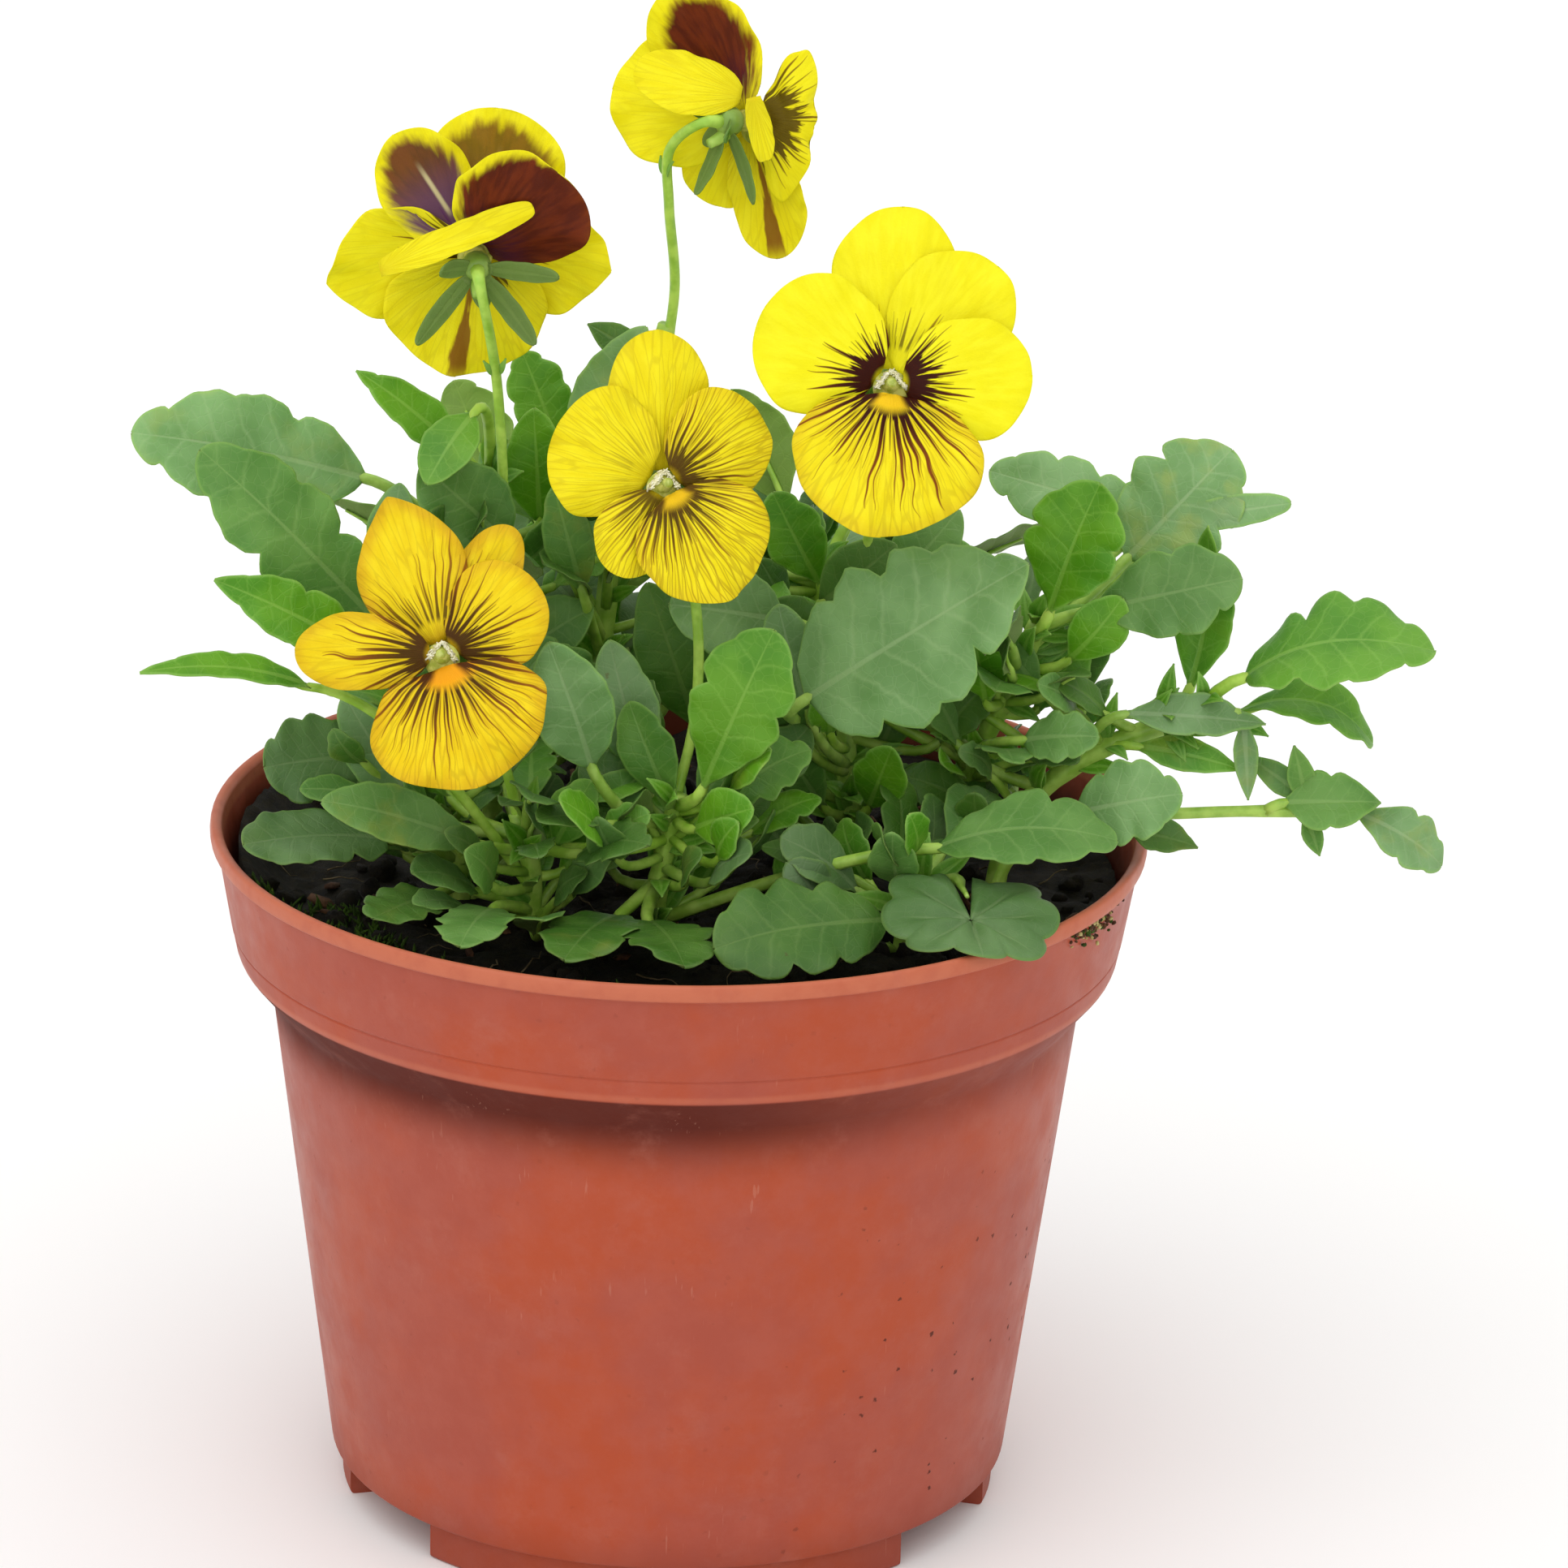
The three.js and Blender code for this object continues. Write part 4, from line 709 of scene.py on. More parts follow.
# Each stem lists its own points (and its thickness if it is a slim one), then its leaves as rows of
# (place along the stem, base of the blade, tip, width, the way its upper side looks, form, bow, tone).
STEMS = {
    "stem_front": dict(
        route=[(-3, -18, STEM_FOOT_Z), (-3, -18, 91), (-2, -20, 100), (0, -21, 109)],
        leaves=[
            (0.75, (-12, -27, 115), (-18, -31, 134), 11, (0.1, -0.9, 0.4), "oval", 1.5, "grey"),
            (0.85, (-5, -16, 110), (-10, -15, 129), 9, (-0.1, -0.9, 0.4), "oval", 1, "grey"),
            (0.85, (-1, -20, 107), (-7, -20, 122), 8, (-0.2, -0.9, 0.3), "young", 1, "mid"),
            (0.95, (3, -27, 112), (12, -31, 136), 14, (-0.1, -0.95, 0.3), "spoon", 1.5, "fresh"),
            (0.9, (2, -26, 106), (10, -34, 112), 8, (0.3, -0.8, 0.5), "young", 1, "fresh"),
            (0.4, (35, -29, 105), (59, -31, 107), 14, (0, -0.35, 0.9), "crenate", 3, "mid"),
            (0.6, (-8, -28, 94), (-15, -50, 96), 13, (-0.2, -0.4, 0.9), "crenate", 1, "deep"),
            (0.6, (-4, -30, 94), (1, -51, 96), 13, (0.1, -0.4, 0.9), "crenate", 1, "deep"),
            (0.75, (5, -14, 106), (9, -12, 121), 8, (0.2, -0.9, 0.4), "young", 1, "mid"),
        ],
        stalk=[(-1, -20, 106), (2, -15, 120), (1, -15, 138)],
        bloom="bloom_middle",
    ),
    "stem_front_left": dict(
        route=[(-20, -19, STEM_FOOT_Z), (-20, -19, 91), (-20, -20, 98), (-22, -21, 106)],
        leaves=[
            (0.8, (-28, -25, 103), (-48, -31, 111), 9, (-0.1, -0.6, 0.8), "oval", 1, "mid"),
            (0.6, (-50, -28, 126), (-72, -38, 131), 6, (-0.1, -0.45, 0.9), "pointed", 2, "fresh"),
            (0.9, (-36, -13, 104), (-46, -14, 120), 9, (-0.2, -0.9, 0.3), "oval", 1, "grey"),
            (0.8, (-17, -23, 102), (-12, -24, 112), 7, (0, -0.9, 0.4), "young", 1, "fresh"),
            (0.5, (-25, -29, 95), (-29, -46, 96), 11, (-0.1, -0.4, 0.9), "crenate", 1, "mid"),
        ],
        stalk=[(-21, -20, 100), (-24, -22, 114), (-29, -26, 127)],
        bloom="bloom_front_left",
    ),
    "stem_left": dict(
        route=[(-30, -7, STEM_FOOT_Z), (-30, -7, 91), (-32, -8, 98), (-36, -9, 105)],
        leaves=[
            (0.6, (-40, -16, 100), (-59, -25, 102), 13, (-0.1, -0.35, 0.95), "round", 1, "dusky"),
            (0.5, (-33, -24, 95), (-41, -37, 96), 10, (0, -0.4, 0.9), "round", 0.5, "deep"),
            (0.9, (-44, -5, 108), (-57, -10, 108), 13, (-0.2, -0.8, 0.5), "round", 1, "dusky"),
            (0.95, (-43, -19, 128), (-63, -22, 139), 9, (0.1, -0.8, 0.6), "pointed", 1, "fresh"),
            (0.8, (-36, 0, 104), (-44, 4, 118), 9, (0, -0.9, 0.4), "oval", 1, "mid"),
            (0.7, (-37, -4, 103), (-47, -1, 104), 7, (0, -0.6, 0.8), "young", 1, "deep"),
        ],
    ),
    "stem_upper_left": dict(
        route=[(-26, 6, STEM_FOOT_Z), (-26, 6, 95), (-27, 7, 112), (-27, 8, 132), (-27, 8, 146)],
        leaves=[
            (0.65, (-42, -11, 130), (-65, -15, 155), 15, (0.15, -0.9, 0.45), "crenate", 1.5, "mid"),
            (0.75, (-44, 2, 146), (-75, -7, 155), 16, (0.1, -0.85, 0.5), "crenate", 2, "silver"),
            (0.95, (-31, 2, 150), (-45, 0, 162), 7, (0.2, -0.8, 0.5), "pointed", 1, "fresh"),
            (0.98, (-29, -3, 157), (-35, -10, 149), 8, (-0.2, -0.8, 0.6), "oval", 1, "fresh"),
            (0.85, (-24, -1, 138), (-36, -4, 150), 12, (0, -0.9, 0.4), "oval", 1, "mid"),
            (0.8, (-41, -1, 133), (-39, 0, 146), 7, (0, -0.9, 0.3), "oval", 1, "grey"),
        ],
        stalk=[(-27, 8, 130), (-25, 3, 138), (-25, -1, 148), (-26, -4, 163)],
        bloom="bloom_top_left",
    ),
    "stem_tall_middle": dict(
        route=[(-10, 9, STEM_FOOT_Z), (-10, 9, 94), (-11, 11, 120), (-8, 13, 145), (-3, 11, 166)],
        leaves=[
            (0.65, (-17, 18, 144), (-23, 20, 159), 9, (0.1, -0.9, 0.3), "spoon", 1, "fresh"),
            (0.6, (-20, 9, 138), (-21, 7, 155), 9, (0, -0.9, 0.3), "oval", 1, "fresh"),
            (0.8, (-6, 19, 158), (-14, 21, 163), 5, (0.1, -0.8, 0.5), "lance", 1, "deep"),
            (0.7, (-16, 15, 145), (-6, 17, 164), 9, (-0.2, -0.9, 0.3), "oval", 1, "grey"),
            (0.45, (-14, 1, 131), (-18, 0, 146), 7, (0, -0.9, 0.3), "oval", 1, "mid"),
            (0.35, (-12, 1, 112), (-18, -4, 124), 9, (0, -0.9, 0.4), "spoon", 1, "mid"),
            (0.3, (-8, 1, 104), (-4, -5, 117), 8, (0, -0.9, 0.4), "young", 1, "mid"),
            (0.55, (-3, 14, 132), (3, 12, 148), 10, (0.1, -0.9, 0.4), "oval", 1, "grey"),
        ],
        stalk=[(-3, 11, 162), (-2, 10, 172), (-3, 8, 184), (-3, 7, 192)],
        bloom="bloom_top",
    ),
    "stem_centre_right": dict(
        route=[(24, 3, STEM_FOOT_Z), (24, 3, 92), (23, 5, 108), (23, 7, 124)],
        leaves=[
            (0.8, (14, -5, 129), (-2, -8, 132), 13, (-0.1, -0.9, 0.4), "oval", 1, "grey"),
            (0.9, (19, 7, 130), (12, 5, 144), 9, (-0.1, -0.9, 0.3), "spoon", 1, "fresh"),
            (0.5, (2, 0, 112), (-5, 1, 132), 10, (0, -0.9, 0.3), "oval", 1, "deep"),
            (0.75, (17, -20, 123), (46, -24, 144), 24, (-0.15, -0.9, 0.4), "lobed", 1.5, "grey"),
            (0.6, (17, -12, 119), (13, -13, 134), 8, (-0.2, -0.9, 0.3), "young", 1, "grey"),
            (0.95, (19, 3, 129), (29, 2, 138), 9, (0.1, -0.9, 0.3), "oval", 1, "deep"),
            (0.5, (27, 8, 104), (33, 10, 120), 8, (0.1, -0.9, 0.4), "young", 1, "mid"),
            (0.45, (20, 0, 100), (13, -3, 112), 7, (-0.1, -0.9, 0.4), "young", 1, "mid"),
            (0.45, (26, -5, 102), (29, -11, 113), 8, (0, -0.9, 0.4), "young", 1, "fresh"),
            (0.3, (16, 6, 98), (7, 8, 111), 9, (0, -0.9, 0.4), "spoon", 1, "deep"),
            (0.85, (28, 10, 128), (38, 12, 140), 9, (0.1, -0.9, 0.4), "oval", 1, "mid"),
        ],
        stalk=[(23, 6, 118), (25, 2, 138), (28, -7, 155)],
        bloom="bloom_right",
    ),
    "stem_right": dict(
        route=[(38, 6, STEM_FOOT_Z), (38, 6, 92), (41, 4, 106), (46, 1, 120), (49, 0, 128)],
        leaves=[
            (0.95, (64, 12, 139), (42, 14, 145), 11, (0, -0.9, 0.4), "crenate", 1, "silver"),
            (0.95, (50, -6, 131), (56, -10, 151), 14, (-0.2, -0.9, 0.4), "spoon", 1.5, "fresh"),
            (0.98, (55, -2, 130), (76, -7, 137), 13, (0.1, -0.9, 0.4), "spoon", 1, "mid"),
            (0.9, (61, 4, 136), (75, 7, 151), 17, (0, -0.9, 0.4), "crenate", 1, "silver"),
            (0.9, (67, 5, 141), (83, 2, 145), 4.5, (0, -0.9, 0.4), "strap", 1, "silver"),
            (0.6, (47, -10, 114), (57, -14, 116), 8, (0.1, -0.8, 0.6), "crenate", 1, "mid"),
            (0.75, (42, -3, 117), (40, -7, 129), 8, (-0.2, -0.9, 0.3), "young", 1, "fresh"),
            (0.85, (53, -2, 123), (60, -5, 133), 8, (0.2, -0.9, 0.3), "young", 1, "fresh"),
            (0.7, (42, 11, 112), (38, 16, 127), 9, (-0.1, -0.9, 0.4), "oval", 1, "mid"),
        ],
    ),
    "stem_far_right": dict(
        route=[
            (44, -4, STEM_FOOT_Z), (44, -4, 91), (47, -3, 101),
            (57, -3, 110), (67, -4, 115), (74, -5, 119),
        ],
        leaves=[
            (0.8, (70, -1, 119), (71, -2, 142), 10, (-0.5, -0.8, 0.3), "pointed", -3, "fresh"),
            (0.95, (77, -8, 123), (102, -14, 129), 17, (0, -0.5, 0.85), "crenate", 5, "fresh"),
            (0.85, (76, -3, 116), (96, -5, 113), 10, (0, -0.4, 0.9), "spoon", 5, "fresh"),
            (0.5, (54, -17, 106), (68, -22, 111), 12, (0.1, -0.8, 0.5), "crenate", 1, "grey"),
            (0.6, (61, -7, 117), (80, -10, 117), 7, (0, -0.6, 0.8), "pointed", 0.5, "grey"),
            (0.85, (77, -9, 117), (78, -10, 106), 3.5, (0, -0.9, 0.3), "lance", 0.5, "grey"),
            (0.7, (63, -6, 112), (77, -9, 110), 5, (0, -0.8, 0.6), "lance", 1, "fresh"),
        ],
    ),
    "stem_trailing": dict(
        thickness=0.6,
        route=[
            (43, -15, STEM_FOOT_Z), (43, -15, 91), (46, -14, 99),
            (56, -12, 103), (72, -10, 104), (91, -11, 105),
        ],
        leaves=[
            (0.6, (62, -13, 102), (71, -16, 101), 6, (0, -0.6, 0.8), "pointed", 0.5, "deep"),
            (0.97, (92, -11, 105), (105, -13, 98), 9, (0.2, -0.7, 0.7), "spoon", 1.5, "grey"),
            (0.85, (83, -11, 106), (96, -13, 107), 9, (0, -0.8, 0.5), "pointed", 0.5, "mid"),
            (0.92, (86, -10, 106), (84, -10, 114), 4, (0, -0.9, 0.3), "lance", 0.3, "mid"),
            (0.9, (86, -9, 106), (78, -6, 111), 4, (0, -0.9, 0.4), "lance", 0.3, "mid"),
            (0.92, (86, -11, 104), (88, -13, 99), 3, (0, -0.9, 0.3), "lance", 0.3, "mid"),
        ],
    ),
    "stem_front_right": dict(
        route=[(31, -24, STEM_FOOT_Z), (31, -24, 91), (33, -26, 98)],
        leaves=[
            (0.98, (38, -31, 101), (41, -57, 97), 23, (0.1, -0.5, 0.85), "wheel", 2.5, "dusky"),
            (0.8, (28, -36, 97), (5, -46, 97), 16, (0, -0.5, 0.85), "crenate", 1, "deep"),
        ],
    ),
    "stem_back_left": dict(
        route=[(-22, 26, STEM_FOOT_Z), (-22, 26, 95), (-24, 29, 112), (-25, 31, 126)],
        leaves=[
            (0.6, (-38, 34, 110), (-58, 42, 116), 13, (-0.3, 0.4, 0.85), "spoon", 2, "mid"),
            (0.75, (-28, 42, 118), (-36, 60, 124), 14, (-0.1, 0.6, 0.8), "crenate", 2, "grey"),
            (0.95, (-26, 34, 132), (-33, 42, 148), 11, (-0.1, 0.9, 0.4), "spoon", 1, "fresh"),
            (0.95, (-18, 32, 132), (-10, 34, 147), 10, (0.1, 0.9, 0.4), "oval", 1, "fresh"),
            (0.6, (-12, 40, 106), (-6, 58, 108), 13, (0, 0.5, 0.85), "round", 2, "deep"),
            (0.9, (-35, 24, 126), (-52, 26, 136), 9, (-0.2, 0.5, 0.8), "pointed", 1, "mid"),
        ],
    ),
    "stem_back_right": dict(
        route=[(16, 26, STEM_FOOT_Z), (16, 26, 95), (18, 28, 112), (20, 28, 128)],
        leaves=[
            (0.6, (30, 34, 108), (46, 46, 110), 14, (0.2, 0.5, 0.85), "round", 2, "mid"),
            (0.75, (22, 40, 118), (24, 60, 124), 13, (0.1, 0.6, 0.8), "spoon", 2, "grey"),
            (0.95, (24, 32, 134), (30, 40, 150), 11, (0.1, 0.9, 0.4), "spoon", 1, "fresh"),
            (0.95, (14, 33, 134), (6, 40, 148), 10, (-0.1, 0.9, 0.4), "oval", 1, "fresh"),
            (0.9, (34, 26, 124), (52, 30, 132), 10, (0.2, 0.6, 0.8), "crenate", 1, "mid"),
            (0.6, (8, 36, 112), (4, 50, 120), 9, (0, 0.8, 0.6), "oval", 1, "deep"),
        ],
    ),
}


def quadratic(start, bend, end, t):
    """Points and directions along a curve that leaves start and reaches end by way of bend."""
    t = np.asarray(t)[:, None]
    points = (1 - t) ** 2 * start + 2 * t * (1 - t) * bend + t**2 * end
    return points, unit(2 * (1 - t) * (bend - start) + 2 * t * (end - bend))


def smooth_route(points, spacing=1.5):
    """Even points along a smooth curve through the given ones."""
    points = np.asarray(points, float)
    ends = [2 * points[0] - points[1], *points, 2 * points[-1] - points[-2]]
    dense = []
    for before, start, end, after in zip(ends, ends[1:], ends[2:], ends[3:]):
        steps = (start - before, end - start, after - end)
        gaps = [max(math.sqrt(np.linalg.norm(step)), 1e-3) for step in steps]
        leaving = (start - before) / gaps[0] - (end - before) / (gaps[0] + gaps[1]) + (end - start) / gaps[1]
        arriving = (end - start) / gaps[1] - (after - start) / (gaps[1] + gaps[2]) + (after - end) / gaps[2]
        leaving, arriving = leaving * gaps[1], arriving * gaps[1]
        t = np.linspace(0, 1, 24, endpoint=False)[:, None]
        dense.append((2 * t**3 - 3 * t**2 + 1) * start + (t**3 - 2 * t**2 + t) * leaving
                     + (3 * t**2 - 2 * t**3) * end + (t**3 - t**2) * arriving)
    dense = np.concatenate([*dense, points[-1:]])
    length = np.append(0, np.cumsum(np.linalg.norm(np.diff(dense, axis=0), axis=1)))
    even = np.linspace(0, length[-1], max(4, int(length[-1] / spacing)))
    return np.stack([np.interp(even, length, dense[:, axis]) for axis in range(3)], 1)


def on_route(route, place):
    """The point at a share of the length of an evenly spaced route."""
    index = place * (len(route) - 1)
    low = min(int(index), len(route) - 2)
    return route[low] + (index - low) * (route[low + 1] - route[low])


def half_width(form, t, jitter=0.0):
    """Half the width of a blade at t, as a share of half its greatest width; jitter moves its teeth."""
    rising = np.sin(math.pi / 2 * np.minimum(1, t / form["peak"])) ** form["root"]
    falling = np.cos(math.pi / 2 * np.clip((t - form["peak"]) / (1 - form["peak"]), 0, 1))
    body = np.where(t < form["peak"], rising, np.maximum(0, falling) ** form["crown"])
    if not form.get("lobes"):
        return body
    along = np.clip((t - form["plain"]) / (1 - form["plain"]), 0, 1)
    phase = (form["lobes"] + 0.5) * along
    phase = phase + jitter * np.sin(math.pi * along)
    tooth = np.where(phase < 0.5, 1.0, np.abs(np.sin(math.pi * phase)) ** 0.5)
    depth = form["cut"] * (0.85 + 0.4 * np.sin(2.4 * np.floor(phase + 0.5) + 20 * jitter))
    return body * (1 - depth * (1 - tooth))


def midline(base, tip, face, bow, rows, crowding=1.5):
    """t, points, sideways and upward directions along a blade that bows towards its face."""
    along = unit(tip - base)
    up = unit(face - along * (face @ along))
    t = 1 - (1 - np.linspace(0, 1, rows)) ** crowding
    points, forward = quadratic(base, (base + tip) / 2 + 2 * bow * up, tip, t)
    side = unit(np.cross(forward, up))
    return t, points, side, np.cross(side, forward)


def both_faces(points, normals, thickness, **layers):
    """Rings round a thin sheet: over its upper face from left to right, then back along its lower face."""
    offset = normals * thickness[..., None] / 2
    rings = np.concatenate([points + offset, (points - offset)[:, ::-1]], 1)
    sheet_layers = {name: np.concatenate([value, value[:, ::-1]], 1) for name, value in layers.items()}
    under = np.zeros(points.shape[:2])
    sheet_layers["under"] = np.concatenate([under, under + 1], 1)
    return rings, sheet_layers


def from_rim(across, along):
    """How far each point of a flat blade lies from its outline, in millimetres."""
    outline = np.concatenate([
        np.stack([across[:, 0], along[:, 0]], 1),
        np.stack([across[-1], along[-1]], 1),
        np.stack([across[:, -1], along[:, -1]], 1),
    ])
    flat = np.stack([across, along], -1)[:, :, None]
    return np.linalg.norm(flat - outline, axis=-1).min(-1)


def surface_normals(points):
    return unit(np.cross(np.gradient(points, axis=1), np.gradient(points, axis=0)))


def leaf_blade(skin, base, tip, width, face, form, bow, tone, fineness=1.0):
    shape = FORMS[form]
    length = np.linalg.norm(tip - base)
    rows = int(np.clip(fineness * length * (2.0 if shape["lobes"] > 1 else 1.3), 9, 48))
    half_columns = int(np.clip(fineness * width * 0.55, 2, 8))
    inner = np.linspace(0, 0.93, half_columns) ** 0.85
    columns = np.concatenate([-inner[::-1], inner[1:]])
    columns = np.concatenate([[-1], columns, [1]])
    t, centre, side, up = midline(base, tip, face, bow, rows)
    halves = []
    for turn in (0, 2):
        jitter = 0.22 * chance.uniform(-1, 1)
        half = np.maximum(width / 2 * half_width(shape, t, jitter), 0.12)
        half = np.maximum(half, 0.55 * (1 - t / 0.12))
        halves.append(half * (1 + 0.02 * np.sin(1.9 * length * t + turn)))
    half = np.where(columns < 0, halves[0][:, None], halves[1][:, None])
    across = half * columns
    along = np.broadcast_to(t[:, None] * length, across.shape)
    reach = np.abs(columns)
    spacing = max(2.2, length / 7)
    vein = (along - 0.8 * np.abs(across) * (1 - 0.35 * reach)) / spacing
    seed = chance.uniform(0, 6)
    twist = chance.uniform(-0.25, 0.25)
    droop = chance.uniform(-0.06, 0.02) * length
    fold = shape["fold"] * half * (np.sqrt(reach**2 + 0.015) - 0.12)
    ripple = shape["wave"] * width * (np.sin(9 * t)[:, None] * columns)
    frill = 0.02 * width * np.sin(1.3 * along / spacing * math.pi + seed + 2 * np.sign(columns)) * reach**2
    quilt = 0.006 * width * (0.5 - 0.5 * np.cos(2 * math.pi * vein)) * np.sin(math.pi * reach**0.7)
    curl = -0.07 * half * reach**4 + droop * np.clip((t[:, None] - 0.55) / 0.45, 0, 1) ** 2
    lift = fold + ripple + frill + quilt + curl + np.sin(twist * t)[:, None] * across
    points = centre[:, None] + side[:, None] * across[..., None] + up[:, None] * lift[..., None]
    thickness = LEAF_THICKNESS * (1 - 0.6 * reach**3) * np.ones_like(across)
    grey, light = TONES[tone]
    lot = chance.random()
    grey = np.clip(grey + chance.uniform(-0.15, 0.15), 0, 1)
    light = light * chance.uniform(0.93, 1.05)
    rings, layers = both_faces(
        points,
        surface_normals(points),
        thickness,
        across=across,
        along=along,
        rim=from_rim(across, along),
        vein=vein,
        length=np.full_like(across, length),
    )
    skin.loft(rings, LEAF, "strip", **layers, grey=grey, light=light, lot=lot)
    return centre, up


def wheel_blade(skin, base, tip, width, face, bow, tone, lobes=8):
    """A round blade whose lobes spread like a wheel from the end of its stalk, cleft above the stalk."""
    length = np.linalg.norm(tip - base)
    _, centre, side, up = midline(base, tip, face, bow, 24)
    turn = np.linspace(-math.pi + 0.16, math.pi - 0.16, 121)[:, None]
    reach = np.linspace(0.03, 1, 15)
    lobe = np.abs(np.cos(lobes / 2 * turn)) ** 0.5
    rim_radius = width / 2 * (0.82 + 0.18 * lobe) * (1.05 - 0.1 * np.cos(turn))
    hub = base + 0.42 * (tip - base)
    stretch = 0.92 * length / width
    radius = rim_radius * reach
    across = radius * np.sin(turn)
    along = radius * np.cos(turn) * stretch
    rib = 0.5 - 0.5 * np.cos(lobes * turn)
    lift = 0.045 * width * rib * np.sin(math.pi * reach) + 0.1 * width * reach**2 - 0.09 * width * reach**4
    lift = lift + 0.04 * width * np.sin(3 * turn + 1) * reach**2
    points = hub + side[0] * across[..., None] + unit(tip - base) * along[..., None]
    points = points + up[0] * lift[..., None]
    grey, light = TONES[tone]
    rings, layers = both_faces(
        points,
        -surface_normals(points),
        LEAF_THICKNESS * (1 - 0.5 * reach**3) * np.ones_like(across),
        across=np.abs(np.sin(lobes / 2 * turn)) * 2 / lobes * radius,
        along=radius,
        rim=rim_radius * (1 - reach),
        vein=0.0 * across,
        length=rim_radius + 0 * across,
    )
    skin.loft(rings, LEAF, "strip", **layers, grey=grey, light=light, lot=chance.random())
    return centre[:9], up[:9]


def leaf(skin, start, base, tip, width, face, form, bow, tone):
    """A blade with its stalk, which swings out from the stem and runs on under the blade as the midrib."""
    base, tip, face = (np.array(point, float) for point in (base, tip, face))
    if form == "wheel":
        centre, up = wheel_blade(skin, base, tip, width, face, bow, tone)
    else:
        centre, up = leaf_blade(skin, base, tip, width, face, form, bow, tone)
    span = np.linalg.norm(base - start)
    bend = base - 0.3 * span * unit(tip - base)
    stalk, _ = quadratic(start, bend, base, np.linspace(0, 1, max(4, int(span / 2))))
    stalk_radii = np.linspace(1.15, 0.9, len(stalk)) * PETIOLE_RADIUS * min(1, 0.55 + width / 26)
    under = slice(1, int(0.64 * len(centre)))
    rib_radii = np.linspace(0.62, 0.0, len(centre))[under] * PETIOLE_RADIUS * min(1, 0.4 + width / 20)
    sunk = rib_radii * np.linspace(0.6, 1, len(rib_radii))
    rib = (centre - 0.24 * up)[under] - up[under] * sunk[:, None]
    grey, light = TONES[tone]
    line = np.concatenate([stalk, rib])
    radii = np.concatenate([stalk_radii, rib_radii])
    tapered_rod(skin, line, radii, 7, STALK, grey=0.5 * grey, light=0.6 + 0.4 * light, lot=chance.random())


def stipules(skin, start, way):
    """Narrow leafy lobes that spread from a joint of the stem."""
    for _ in range(STIPULES):
        spread = unit(scatter(1))
        heading = unit(spread - way * (spread @ way) + way * chance.uniform(0.1, 0.9))
        size = STIPULE_LENGTH * chance.uniform(0.7, 1.15)
        face = np.array([0.15 * heading[0], -0.7, 0.7]) + 0.3 * spread
        base, tip = start + 0.6 * heading, start + size * heading
        leaf_blade(skin, base, tip, 0.24 * size + 0.6, face, "lance", 0.6, "fresh")


def undergrowth(skin, route, count):
    """Small young leaves that crowd the lower part of a stem, all round it."""
    for _ in range(count):
        start = on_route(route, chance.uniform(0.3, 0.95))
        heading = chance.uniform(0, 2 * math.pi)
        way = np.array([math.cos(heading), math.sin(heading), 0])
        base = start + chance.uniform(3, 13) * way + [0, 0, chance.uniform(0, 9)]
        tip = base + chance.uniform(8, 14) * unit(way + [0, 0, chance.uniform(0.2, 1.6)])
        widest = 60 if tip[2] > POT_HEIGHT + 4 else 54
        if math.hypot(*tip[:2]) > widest or math.hypot(*base[:2]) > widest:
            continue
        if base[2] < SOIL_LEVEL + 3 or tip[2] > CROWN_Z:
            continue
        face = 0.5 * way + [0.3 * chance.gauss(0, 1), -0.3, 0.8]
        form = chance.choice(("young", "young", "oval", "spoon", "crenate"))
        tone = chance.choice(("deep", "deep", "mid", "dusky", "fresh"))
        width = chance.uniform(0.5, 0.72) * np.linalg.norm(tip - base)
        leaf(skin, start, base, tip, width, face, form, 1, tone)


def bloom_frame(bloom):
    """Its centre, and the directions out of its face, up, and to the right as seen from the front."""
    out = unit(np.array(bloom["face"], float))
    up = unit(np.array([0, 0, 1]) - out * out[2])
    return np.array(bloom["centre"], float), out, up, np.cross(up, out)


def sepal(skin, base, tip, face, width=2.9):
    """A narrow blunt green blade, with the short ear that it has behind its root."""
    leaf_blade(skin, base, tip, width, face, "strap", 0.4, "olive", 1.6)
    ear = base - 0.16 * (tip - base)
    leaf_blade(skin, base + 0.1 * (tip - base), ear, 0.75 * width, face, "strap", 0.2, "olive", 1.6)


